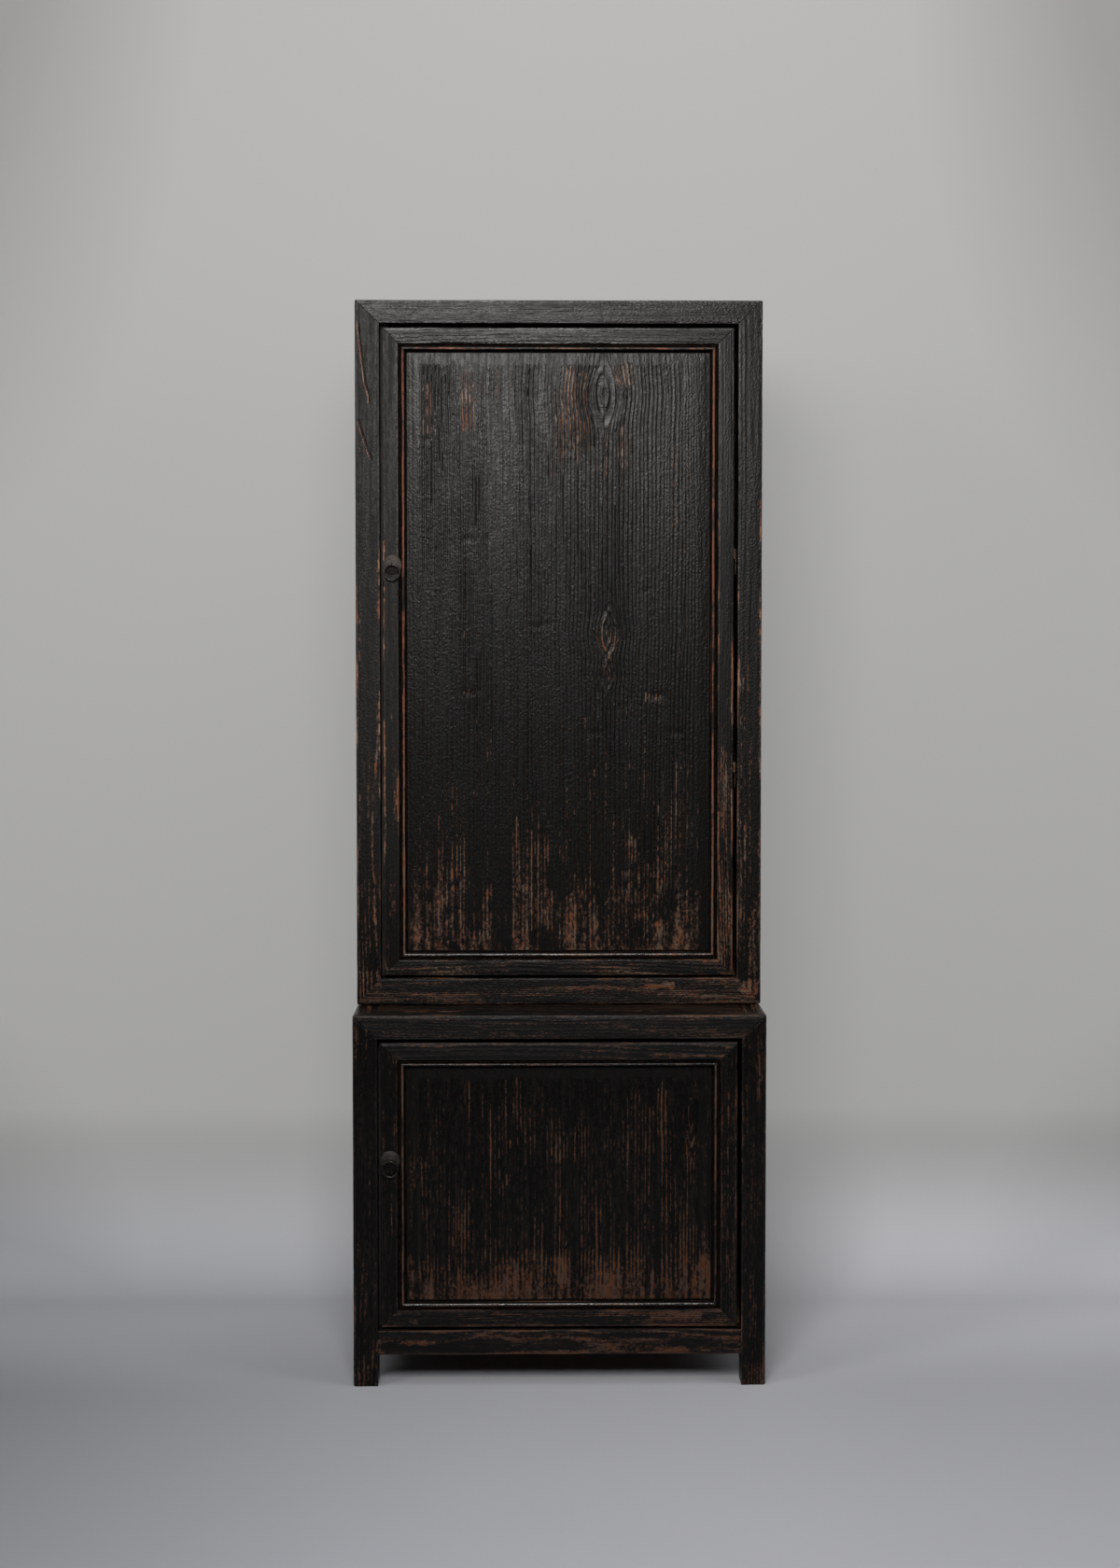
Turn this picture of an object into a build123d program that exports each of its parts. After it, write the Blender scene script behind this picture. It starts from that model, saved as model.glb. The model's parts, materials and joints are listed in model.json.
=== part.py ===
from build123d import *
import math
import os

# A tall two-stage cupboard in black lacquered softwood: a lower case on four legs and a
# shallower upper case that stands on it, each closed by one framed door on wooden pivots.
# +Z is up, the front faces -Y and +X is to the right of someone who faces the doors.
# The origin is on the floor, at the centre of the lower case. All sizes are in millimetres.

# ---------------------------------------------------------------- driving dimensions: cases

WIDTH = 700.0  # both cases, over the posts
LOWER_DEPTH = 450.0
UPPER_DEPTH = 350.0
LOWER_HEIGHT = 634.0
UPPER_HEIGHT = 1214.0
POST = 42.5  # square section of every post, and depth of every rail
LEG_HEIGHT = 53.5  # floor to the underside of the lower case's bottom rails
UPPER_TOP_RAIL = 42.0
UPPER_BOTTOM_RAIL = 46.5
LOWER_TOP_RAIL = 42.0
LOWER_BOTTOM_RAIL = 43.0
ARRIS = 3.0  # rounding of the outer edges of posts and rails

TENON_THICK = 10.0
TENON_SET = 14.0  # outer face of a member to its tenon
TENON_COVER = 8.0  # wood left between a rail's tenon and the outside of the post
TENON_HIGH = 12.0  # tenons of the mitred corners
TENON_EDGE = 2.0  # inner edge of a mitred rail to its tenon
TENON_SHOULDER = 8.0  # shoulder above and below a square-shouldered tenon
TENON_APART = 2.0  # wood between two tenons that meet in one post
MORTISE_SLACK = 1.0  # empty depth past the end of a tenon

PANEL_THICK = 10.0  # side and back panels
PANEL_INSET = 8.0  # outer face of the frame to the panel
PANEL_TONGUE = 8.0  # how far a panel or board reaches into its groove
PANEL_PLAY = 1.0  # room left for a panel to swell
BOARD_THICK = 15.0  # case tops and floors
BOARD_TONGUE_THICK = 6.0
BOARD_TONGUE_DROP = 4.0  # top face of a board to its tongue

SHELF_THICK = 18.0
SHELF_HEIGHTS = (1052.0, 1424.0)  # floor to the top of each shelf of the upper case
SHELF_PLAY = 1.5  # shelf edge to panels and posts
SHELF_FRONT_ROOM = 7.7  # swing of the door's back corner to the shelf's front edge
BEARER_THICK = 20.0
BEARER_HIGH = 26.0
BEARER_TENON = 9.0
BEARER_TENON_THICK = 8.0

DOWEL_RADIUS = 5.0
DOWEL_CLEARANCE = 0.1
DOWEL_DEPTH = 15.0  # into each case
DOWEL_END_ROOM = 0.5
DOWEL_INSETS = (90.0, 80.0)  # front and back faces of the upper case to the dowels

# ---------------------------------------------------------------- driving dimensions: doors

DOOR_THICK = 28.0
DOOR_RECESS = 1.0  # front of the case to the face of the door
LATCH_GAP = 4.0
TOP_GAP = 5.7
BOTTOM_GAP = 4.0
UPPER_DOOR_FLAT = 28.0  # plain face of the frame, outside its bead
LOWER_DOOR_FLAT = 30.0
QUIRK = 5.3  # groove between the plain face and the bead
QUIRK_DEPTH = 3.4
BEAD = 5.2
BEAD_DROP = 0.8  # face of the frame to the crest of the bead
BEAD_LEDGE = 1.5  # frame showing inside the bead
BEAD_SEAT_DEPTH = 7.0  # face of the frame to the rebate that takes the bead strips
DOOR_ARRIS = 1.5
PIVOT_ARRIS = 3.0  # rounding of the edge that turns past the post
SWING_CLEARANCE = 1.4  # that edge to the post as it passes

DOOR_TENON_THICK = 8.0
DOOR_TENON_SET = 12.0  # face of the door to the tenon
DOOR_TENON_HIGH = 17.0
DOOR_TENON_DROP = 11.0  # outer edge of the rail to its tenon
DOOR_TENON_TO_PIVOT = 2.0

DOOR_PANEL_SET = 11.5  # face of the door to the panel's tongue
DOOR_PANEL_TONGUE_THICK = 7.0
DOOR_PANEL_TONGUE = 8.0
DOOR_PANEL_FIELD = 1.2  # rise of the field above the tongue
DOOR_PANEL_BEVEL = 22.0  # width of the sloping margin
BATTEN_WIDTH = 28.0
BATTEN_LET_IN = 3.5  # depth of the dovetailed housing in the panel
BATTEN_THICK = 11.5
BATTEN_FLARE = 2.0  # each side of the dovetail
UPPER_DOOR_BATTENS = 3
LOWER_DOOR_BATTENS = 1

PIVOT_RADIUS = 6.0
PIVOT_CLEARANCE = 0.05
PIVOT_FOOT = 5.0  # bottom pivot inside its socket; less than TOP_GAP, so that the door lifts out
PIVOT_HEAD = 12.0  # top pivot inside its socket
PIVOT_LIFT = 6.0  # empty height above the top pivot
PIVOT_END_ROOM = 0.1  # under the bottom pivot

STOP_WIDTH = 12.5
STOP_THICK = 12.0
STOP_GAP = 0.5  # back of the closed door to its stop

# ---------------------------------------------------------------- driving dimensions: ring pulls

UPPER_PULL_HEIGHT = 1394.0  # floor to the centre of the backplate
LOWER_PULL_HEIGHT = 386.0
PULL_INSET = 17.0  # latch edge of the door to the centre of the backplate
PLATE_RADIUS = 16.5
PLATE_RISE = 2.6  # stile to the crest of the dome
PLATE_RIM = 0.7
PLATE_THICK = 0.8
PLATE_BANDS = (13.6, 10.4, 6.6)  # radii of the turned lines
PLATE_LINE = 0.5  # width of a turned line
PLATE_LINE_DEPTH = 0.3
RING_RADIUS = 13.1  # to the middle of the wire
RING_WIRE = 1.65
EYE_WIRE = 1.1
EYE_CLEARANCE = 0.4
SHANK_RADIUS = 1.5
SHANK_CLEARANCE = 0.3
LEG_WIDTH = 2.6  # each leg of the split pin, clinched on the back of the stile
LEG_THICK = 1.3
LEG_LENGTH = 11.0

# ---------------------------------------------------------------- places that follow

HALF = WIDTH / 2
LOWER_FRONT = -LOWER_DEPTH / 2
BACK = LOWER_DEPTH / 2
UPPER_FRONT = BACK - UPPER_DEPTH
INNER_X = HALF - POST
FRONT, REAR = -1, 1
LEFT, RIGHT = -1, 1
LOW_END, HIGH_END = -1, 1  # of a door or of a bead strip
SIDE_NAMES = {LEFT: "left", RIGHT: "right"}
END_NAMES = {FRONT: "front", REAR: "back"}

PIVOT_INSET = DOOR_THICK / 2  # from the edge and from the face of the door
SWING_RADIUS = (PIVOT_INSET - PIVOT_ARRIS) * math.sqrt(2) + PIVOT_ARRIS
HINGE_GAP = SWING_RADIUS - PIVOT_INSET + SWING_CLEARANCE
PIVOT_X = INNER_X - HINGE_GAP - PIVOT_INSET
BEAD_STRIP = QUIRK + BEAD
EYE_RADIUS = RING_WIRE + EYE_CLEARANCE + EYE_WIRE  # to the middle of the eye's wire
EYE_OUT = PLATE_RISE + EYE_RADIUS + EYE_WIRE  # stile to the middle of the eye


# ---------------------------------------------------------------- helpers


def block(x, y, z):
    """A box between two places on each axis, given in either order."""
    spans = [sorted(pair) for pair in (x, y, z)]
    centre = [(low + high) / 2 for low, high in spans]
    size = [high - low for low, high in spans]
    return Pos(*centre) * Box(*size)


def round_edge(body, axis, near, radius):
    """The body with one straight edge rounded: of those along the axis, the one nearest to a point."""
    edge = body.edges().filter_by(axis).sort_by_distance(near)[0]
    return fillet(edge, radius)


def keep(body, through, towards):
    """The part of a body on one side of a plane."""
    return split(body, bisect_by=Plane(origin=through, z_dir=towards), keep=Keep.TOP)


def upright_rod(x, y, z, radius):
    """A round rod along Z between two heights."""
    low, high = sorted(z)
    return Pos(x, y, (low + high) / 2) * Cylinder(radius, high - low)


# ---------------------------------------------------------------- cases


class Case:
    """A framed case: four posts, rails between their ends, and panels let into grooves."""

    def __init__(self, name, front, bottom, height, leg, top_rail, bottom_rail):
        self.name = name
        self.front = front
        self.bottom = bottom
        self.top = bottom + height
        self.leg = leg
        self.top_rail = top_rail
        self.bottom_rail = bottom_rail
        self.floor = bottom + leg + bottom_rail  # top of the bottom rails
        self.ceiling = self.top - top_rail  # underside of the top rails
        self.inner_front = front + POST
        self.inner_back = BACK - POST

    def face_y(self, end):
        """The outer face at the front or the back."""
        return self.front if end == FRONT else BACK

    def rail_span(self, level):
        """Lowest and highest places of the rails at a level, "top" or "bottom"."""
        if level == "top":
            return self.ceiling, self.top
        return self.floor - self.bottom_rail, self.floor

    def mitred(self, level):
        """Whether rails and posts meet in a three-way mitre; posts with legs run past the rails."""
        return level == "top" or self.leg == 0

    def in_post(self, side, end, across, along, z):
        """A box in a post, placed by its distances from the side face and the front or back face."""
        x = [side * (HALF - distance) for distance in across]
        y = [self.face_y(end) - end * distance for distance in along]
        return block(x, y, z)

    def tenon_span(self, level):
        """Lowest and highest places of the tenons of the rails at a level."""
        low, high = self.rail_span(level)
        if not self.mitred(level):
            return low + TENON_SHOULDER, high - TENON_SHOULDER
        if level == "top":
            return low + TENON_EDGE, low + TENON_EDGE + TENON_HIGH
        return high - TENON_EDGE - TENON_HIGH, high - TENON_EDGE

    def cross_tenon(self, side, end, level, slack=0.0):
        """The tenon of a front or back rail in a post; with slack, its mortise."""
        across = (TENON_COVER - slack, POST)
        along = (TENON_SET, TENON_SET + TENON_THICK)
        return self.in_post(side, end, across, along, self.tenon_span(level))

    def side_tenon(self, side, end, level, slack=0.0):
        """The shorter tenon of a side rail in a post; with slack, its mortise."""
        across = (TENON_SET, TENON_SET + TENON_THICK)
        along = (TENON_SET + TENON_THICK + TENON_APART - slack, POST)
        return self.in_post(side, end, across, along, self.tenon_span(level))

    def corner(self, side, end, level):
        """The outermost point of a mitred corner."""
        return side * HALF, self.face_y(end), self.top if level == "top" else self.bottom

    def mitre_normals(self, side, end, level):
        """Normals of the three mitre planes of a corner: towards the post from the cross rail,
        towards the post from the side rail, and towards the cross rail from the side rail."""
        low, high = self.rail_span(level)
        rail = high - low
        down = -POST if level == "top" else POST
        from_cross = (side * rail, 0, down)
        from_side = (0, end * rail, down)
        cross_from_side = (-side, end, 0)
        return from_cross, from_side, cross_from_side

    def post(self, side, end):
        corner = (side * HALF, self.face_y(end), (self.bottom + self.top) / 2)
        body = self.in_post(side, end, (0, POST), (0, POST), (self.bottom, self.top))
        body = round_edge(body, Axis.Z, corner, ARRIS)
        for level in ("top", "bottom"):
            if self.mitred(level):
                from_cross, from_side, _ = self.mitre_normals(side, end, level)
                body = keep(body, self.corner(side, end, level), from_cross)
                body = keep(body, self.corner(side, end, level), from_side)
            body -= self.cross_tenon(side, end, level, MORTISE_SLACK)
            body -= self.side_tenon(side, end, level, MORTISE_SLACK)
        return body

    def cross_rail(self, end, level):
        """A front or back rail."""
        mitred = self.mitred(level)
        reach = HALF if mitred else INNER_X
        face = self.face_y(end)
        low, high = self.rail_span(level)
        body = block((-reach, reach), (face, face - end * POST), (low, high))
        if mitred:
            edge = (0, face, high if level == "top" else low)
            body = round_edge(body, Axis.X, edge, ARRIS)
        for side in (LEFT, RIGHT):
            if mitred:
                from_cross, _, cross_from_side = self.mitre_normals(side, end, level)
                body = keep(body, self.corner(side, end, level), -Vector(*from_cross))
                body = keep(body, self.corner(side, end, level), cross_from_side)
            body += self.cross_tenon(side, end, level)
        return body

    def side_rail(self, side, level):
        """A left or right rail."""
        mitred = self.mitred(level)
        low, high = self.rail_span(level)
        y = (self.front, BACK) if mitred else (self.inner_front, self.inner_back)
        body = block((side * HALF, side * INNER_X), y, (low, high))
        if mitred:
            edge = (side * HALF, sum(y) / 2, high if level == "top" else low)
            body = round_edge(body, Axis.Y, edge, ARRIS)
        for end in (FRONT, REAR):
            if mitred:
                _, from_side, cross_from_side = self.mitre_normals(side, end, level)
                body = keep(body, self.corner(side, end, level), -Vector(*from_side))
                body = keep(body, self.corner(side, end, level), -Vector(*cross_from_side))
            body += self.side_tenon(side, end, level)
        return body

    def side_panel(self, side, play=0.0):
        """A side panel; with play, the grooves that hold it."""
        reach = PANEL_TONGUE + play
        x = (side * (HALF - PANEL_INSET), side * (HALF - PANEL_INSET - PANEL_THICK))
        y = (self.inner_front - reach, self.inner_back + reach)
        return block(x, y, (self.floor - reach, self.ceiling + reach))

    def back_panel(self, play=0.0):
        """The back panel; with play, the grooves that hold it."""
        reach = PANEL_TONGUE + play
        y = (BACK - PANEL_INSET, BACK - PANEL_INSET - PANEL_THICK)
        x = (-INNER_X - reach, INNER_X + reach)
        return block(x, y, (self.floor - reach, self.ceiling + reach))

    def boards(self, surface, play=0.0):
        """Boards of the top or the floor, flush with their rails; with play, their grooves."""
        reach = PANEL_TONGUE + play
        body = block(
            (-INNER_X, INNER_X), (self.inner_front, self.inner_back), (surface - BOARD_THICK, surface)
        )
        tongue_top = surface - BOARD_TONGUE_DROP
        tongue = block(
            (-INNER_X - reach, INNER_X + reach),
            (self.inner_front - reach, self.inner_back + reach),
            (tongue_top - BOARD_TONGUE_THICK, tongue_top),
        )
        return body + tongue

    def frame(self):
        """Posts and rails by node name."""
        made = {}
        for end, end_name in END_NAMES.items():
            for side, side_name in SIDE_NAMES.items():
                made[f"{self.name}_post_{end_name}_{side_name}"] = self.post(side, end)
        for level in ("top", "bottom"):
            for end, end_name in END_NAMES.items():
                made[f"{self.name}_{level}_rail_{end_name}"] = self.cross_rail(end, level)
            for side, side_name in SIDE_NAMES.items():
                made[f"{self.name}_{level}_rail_{side_name}"] = self.side_rail(side, level)
        return made

    def panels(self, play=0.0):
        """Panels and boards by node name; with play, the grooves that hold them."""
        made = {f"{self.name}_side_panel_{name}": self.side_panel(side, play)
                for side, name in SIDE_NAMES.items()}
        made[f"{self.name}_back_panel"] = self.back_panel(play)
        made[f"{self.name}_top_boards"] = self.boards(self.top, play)
        made[f"{self.name}_floor_boards"] = self.boards(self.floor, play)
        return made

    def nodes(self):
        """The whole case, with the frame grooved for its panels."""
        frame = self.frame()
        for groove in self.panels(PANEL_PLAY).values():
            frame = {name: body - groove for name, body in frame.items()}
        return {**frame, **self.panels()}


# ---------------------------------------------------------------- shelves, stops and dowels


def shelf(case, surface):
    """Shelf boards, notched round the back posts."""
    front = case.front + DOOR_RECESS + PIVOT_INSET * (1 + math.sqrt(2)) + SHELF_FRONT_ROOM
    reach = HALF - PANEL_INSET - PANEL_THICK - SHELF_PLAY
    back = BACK - PANEL_INSET - PANEL_THICK - SHELF_PLAY
    z = (surface - SHELF_THICK, surface)
    body = block((-reach, reach), (front, back), z)
    for side in (LEFT, RIGHT):
        notch_x = (side * HALF, side * (INNER_X - SHELF_PLAY))
        body -= block(notch_x, (case.inner_back - SHELF_PLAY, BACK), z)
        body -= block(notch_x, (case.front, case.inner_front + SHELF_PLAY), z)
    return body


def bearer(case, side, surface, slack=0.0):
    """A rail under the end of a shelf, tenoned into the posts; with slack, its mortises too."""
    top = surface - SHELF_THICK
    middle = side * (INNER_X + BEARER_THICK / 2)
    rail_x = (side * INNER_X, side * (INNER_X + BEARER_THICK))
    rail = block(rail_x, (case.inner_front, case.inner_back), (top - BEARER_HIGH, top))
    reach = BEARER_TENON + slack
    tenon_x = (middle - BEARER_TENON_THICK / 2, middle + BEARER_TENON_THICK / 2)
    tenon_z = (top - BEARER_HIGH + TENON_SHOULDER / 2, top - TENON_SHOULDER / 2)
    return rail + block(tenon_x, (case.inner_front - reach, case.inner_back + reach), tenon_z)


def door_stop(case):
    """The strip on the latch-side post that the door closes against."""
    front = case.front + DOOR_RECESS + DOOR_THICK + STOP_GAP
    return block((-INNER_X, STOP_WIDTH - INNER_X), (front, front + STOP_THICK), (case.floor, case.ceiling))


def dowels(clearance=0.0, end_room=0.0):
    """Dowels that locate the upper case on the lower one; with clearance, their holes."""
    rail_middle = HALF - POST / 2
    reach = DOWEL_DEPTH + end_room
    z = (LOWER_HEIGHT - reach, LOWER_HEIGHT + reach)
    front_inset, back_inset = DOWEL_INSETS
    return [
        upright_rod(side * rail_middle, y, z, DOWEL_RADIUS + clearance)
        for side in (LEFT, RIGHT)
        for y in (UPPER_FRONT + front_inset, BACK - back_inset)
    ]


# ---------------------------------------------------------------- doors


class Door:
    """A mitred frame with a planted bead and a fielded panel, turning on pivots of its right stile."""

    def __init__(self, case, flat, battens, pull_height):
        self.name = case.name + "_door"
        self.case = case
        self.flat = flat
        self.member = flat + BEAD_STRIP + BEAD_LEDGE
        self.batten_count = battens
        self.pull_height = pull_height
        self.face = case.front + DOOR_RECESS
        self.left = -INNER_X + LATCH_GAP
        self.right = INNER_X - HINGE_GAP
        self.low = case.floor + BOTTOM_GAP
        self.high = case.ceiling - TOP_GAP
        self.pivot_y = self.face + PIVOT_INSET
        self.mid_x = (self.left + self.right) / 2
        self.mid_z = (self.low + self.high) / 2

    def depth(self, *distances):
        """Places behind the face of the door."""
        return [self.face + distance for distance in distances]

    def inside(self, inset, depths):
        """A box as large as the door less an inset on all four edges."""
        x = (self.left + inset, self.right - inset)
        return block(x, self.depth(*depths), (self.low + inset, self.high - inset))

    def edge_x(self, side):
        return self.left if side == LEFT else self.right

    def edge_z(self, end):
        return self.low if end == LOW_END else self.high

    def mitre_skin(self, side, end):
        """The rail's half of the mitre at a corner, which is only as deep as the bead's rebate."""
        corner = (self.edge_x(side), self.face, self.edge_z(end))
        x = (corner[0], corner[0] - side * self.member)
        z = (corner[2], corner[2] - end * self.member)
        square = block(x, self.depth(0, BEAD_SEAT_DEPTH), z)
        return keep(square, corner, (-side, 0, end))

    def tenon(self, side, end, slack=0.0):
        """The tenon of a rail in a stile, clear of the pivot; with slack, its mortise."""
        start = PIVOT_INSET + PIVOT_RADIUS + DOOR_TENON_TO_PIVOT - slack
        x = [self.edge_x(side) - side * distance for distance in (start, self.member)]
        z = [self.edge_z(end) - end * (DOOR_TENON_DROP + rise) for rise in (0, DOOR_TENON_HIGH)]
        return block(x, self.depth(DOOR_TENON_SET, DOOR_TENON_SET + DOOR_TENON_THICK), z)

    def stile(self, side):
        edge = self.edge_x(side)
        body = block((edge, edge - side * self.member), self.depth(0, DOOR_THICK), (self.low, self.high))
        radius = PIVOT_ARRIS if side == RIGHT else DOOR_ARRIS
        body = round_edge(body, Axis.Z, (edge, self.face, self.mid_z), radius)
        for end in (LOW_END, HIGH_END):
            body -= self.mitre_skin(side, end)
            body -= self.tenon(side, end, MORTISE_SLACK)
        return self.moulded(body)

    def rail(self, end):
        edge = self.edge_z(end)
        z = (edge, edge - end * self.member)
        body = block((self.left, self.right), self.depth(0, DOOR_THICK), z)
        body = round_edge(body, Axis.X, (self.mid_x, self.face, edge), DOOR_ARRIS)
        for side in (LEFT, RIGHT):
            outer = self.edge_x(side)
            stile_end = block((outer, outer - side * self.member), self.depth(0, DOOR_THICK), z)
            body -= stile_end - self.mitre_skin(side, end)
            body += self.tenon(side, end)
        return self.moulded(body)

    def moulded(self, body):
        """A frame member with the bead's rebate and the panel's groove cut in it."""
        body -= self.inside(self.flat, (0, BEAD_SEAT_DEPTH))
        return body - self.panel_tongue(PANEL_PLAY)

    def bead_strip(self, length):
        """One bead strip along X, mitred at both ends; Y is towards the panel and Z into the door."""
        quirk_end = (0, QUIRK, QUIRK_DEPTH)
        crest = (0, QUIRK + BEAD / 2, BEAD_DROP)
        bead_end = (0, BEAD_STRIP, QUIRK_DEPTH)
        roll = ThreePointArc(quirk_end, crest, bead_end)
        seat = Polyline(bead_end, (0, BEAD_STRIP, BEAD_SEAT_DEPTH), (0, 0, BEAD_SEAT_DEPTH))
        quirk = Polyline((0, 0, BEAD_SEAT_DEPTH), (0, 0, QUIRK_DEPTH), quirk_end)
        section = make_face(Curve() + [roll, seat, quirk])
        strip = extrude(section, amount=length / 2, dir=(1, 0, 0), both=True)
        for end in (LOW_END, HIGH_END):
            strip = keep(strip, (end * length / 2, 0, 0), (-end, -1, 0))
        return strip

    def beads(self):
        """The four bead strips round the panel."""
        width = self.right - self.left - 2 * self.flat
        height = self.high - self.low - 2 * self.flat
        strips = []
        for inward, length, across in (
            ((0, 0, 1), width, height),
            ((0, 0, -1), width, height),
            ((1, 0, 0), height, width),
            ((-1, 0, 0), height, width),
        ):
            towards = Vector(*inward)
            origin = Vector(self.mid_x, self.face, self.mid_z) - towards * (across / 2)
            place = Plane(origin=origin, x_dir=towards.cross(Vector(0, 1, 0)), z_dir=(0, 1, 0))
            strips.append(place * self.bead_strip(length))
        return strips

    def panel_tongue(self, play=0.0):
        """The panel out to its edges, as thick as its tongue; with play, its groove."""
        depths = (DOOR_PANEL_SET, DOOR_PANEL_SET + DOOR_PANEL_TONGUE_THICK)
        return self.inside(self.member - DOOR_PANEL_TONGUE - play, depths)

    def panel(self):
        """The fielded panel, housed at the back for its battens."""
        field = self.inside(self.member, (DOOR_PANEL_SET - DOOR_PANEL_FIELD, DOOR_PANEL_SET))
        base = self.face + DOOR_PANEL_SET
        for side in (LEFT, RIGHT):
            edge = (self.edge_x(side) - side * self.member, base, self.mid_z)
            field = keep(field, edge, (-side * DOOR_PANEL_FIELD, DOOR_PANEL_BEVEL, 0))
        for end in (LOW_END, HIGH_END):
            edge = (self.mid_x, base, self.edge_z(end) - end * self.member)
            field = keep(field, edge, (0, DOOR_PANEL_BEVEL, -end * DOOR_PANEL_FIELD))
        body = field + self.panel_tongue()
        for batten in self.battens():
            body -= batten
        return body

    def battens(self):
        """Dovetailed battens across the back of the panel, between the stiles."""
        back = self.face + DOOR_PANEL_SET + DOOR_PANEL_TONGUE_THICK
        front = back - BATTEN_LET_IN
        length = self.right - self.left - 2 * self.member
        neck = BATTEN_WIDTH / 2 - BATTEN_FLARE
        opening = self.high - self.low - 2 * self.member
        made = []
        for index in range(self.batten_count):
            height = self.low + self.member + opening * (index + 1) / (self.batten_count + 1)
            outline = Polyline(
                (0, front, height - BATTEN_WIDTH / 2),
                (0, front, height + BATTEN_WIDTH / 2),
                (0, back, height + neck),
                (0, front + BATTEN_THICK, height + neck),
                (0, front + BATTEN_THICK, height - neck),
                (0, back, height - neck),
                close=True,
            )
            section = Pos(self.mid_x, 0, 0) * make_face(outline)
            made.append(extrude(section, amount=length / 2, dir=(1, 0, 0), both=True))
        return made

    def pivots(self):
        """The two round ends of the right stile."""
        foot = (self.low, self.case.floor - PIVOT_FOOT)
        head = (self.high, self.case.ceiling + PIVOT_HEAD)
        return [upright_rod(PIVOT_X, self.pivot_y, z, PIVOT_RADIUS) for z in (foot, head)]

    def sockets(self):
        """The holes in the case's rails that the pivots turn in."""
        foot = (self.case.floor, self.case.floor - PIVOT_FOOT - PIVOT_END_ROOM)
        head = (self.case.ceiling, self.case.ceiling + PIVOT_HEAD + PIVOT_LIFT)
        radius = PIVOT_RADIUS + PIVOT_CLEARANCE
        return [upright_rod(PIVOT_X, self.pivot_y, z, radius) for z in (foot, head)]

    def pull_place(self):
        """The centre of the backplate, with Z out of the door and Y up."""
        origin = (self.left + PULL_INSET, self.face, self.pull_height)
        return Plane(origin=origin, x_dir=(1, 0, 0), z_dir=(0, -1, 0))

    def nodes(self):
        """The whole door by node name, without its ring."""
        pull_hole = Pos(0, 0, -DOOR_THICK / 2) * Cylinder(SHANK_RADIUS + SHANK_CLEARANCE, DOOR_THICK)
        pivot_stile = self.stile(RIGHT)
        for pivot in self.pivots():
            pivot_stile += pivot
        return {
            f"{self.name}_latch_stile": self.stile(LEFT) - self.pull_place() * pull_hole,
            f"{self.name}_pivot_stile": pivot_stile,
            f"{self.name}_top_rail": self.rail(HIGH_END),
            f"{self.name}_bottom_rail": self.rail(LOW_END),
            f"{self.name}_beads": self.beads(),
            f"{self.name}_panel": self.panel(),
            f"{self.name}_battens": self.battens(),
            f"{self.case.name}_pull_plate": self.pull_place() * pull_plate(),
            f"{self.case.name}_pull_pin": self.pull_place() * pull_pin(),
        }


# ---------------------------------------------------------------- ring pulls


def dome(radius, edge, rim, crest):
    """Height of a shallow dome at a radius: rim at its edge and crest at its middle."""
    return rim + (crest - rim) * (1 - (radius / edge) ** 2)


def dome_arc(start, end, edge, rim, crest):
    """The line of a dome between two radii, in the XZ plane."""
    radii = (start, (start + end) / 2, end)
    return ThreePointArc(*[(radius, 0, dome(radius, edge, rim, crest)) for radius in radii])


def pull_plate():
    """The domed round backplate with turned lines, on the XY plane and rising along Z."""
    hole = SHANK_RADIUS + SHANK_CLEARANCE
    outer = (PLATE_RADIUS, PLATE_RIM, PLATE_RISE)
    inner = (PLATE_RADIUS - PLATE_THICK, 0.0, PLATE_RISE - PLATE_THICK)
    outline = []
    start = PLATE_RADIUS
    for band in PLATE_BANDS:
        next_start = band - PLATE_LINE
        bottom = band - PLATE_LINE / 2
        outline.append(dome_arc(start, band, *outer))
        outline.append(
            Polyline(
                (band, 0, dome(band, *outer)),
                (bottom, 0, dome(bottom, *outer) - PLATE_LINE_DEPTH),
                (next_start, 0, dome(next_start, *outer)),
            )
        )
        start = next_start
    outline.append(dome_arc(start, hole, *outer))
    outline.append(Line((hole, 0, dome(hole, *outer)), (hole, 0, dome(hole, *inner))))
    outline.append(dome_arc(hole, inner[0], *inner))
    outline.append(Polyline((inner[0], 0, 0), (PLATE_RADIUS, 0, 0), (PLATE_RADIUS, 0, PLATE_RIM)))
    return revolve(make_face(Curve() + outline), axis=Axis.Z)


def pull_pin():
    """The split pin: an eye in front of the plate, and legs clinched on the back of the stile."""
    eye = Pos(0, 0, EYE_OUT) * Rot(0, 90, 0) * Torus(EYE_RADIUS, EYE_WIRE)
    top = EYE_OUT - EYE_RADIUS
    shank_length = top + DOOR_THICK + LEG_THICK
    shank = Pos(0, 0, top - shank_length / 2) * Cylinder(SHANK_RADIUS, shank_length)
    legs = Pos(0, 0, -DOOR_THICK - LEG_THICK / 2) * Box(LEG_WIDTH, 2 * LEG_LENGTH, LEG_THICK)
    return eye + shank + legs


def pull_ring():
    """The ring, hanging from the eye."""
    return Pos(0, -RING_RADIUS, EYE_OUT) * Torus(RING_RADIUS, RING_WIRE)


# ---------------------------------------------------------------- assembly


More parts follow.
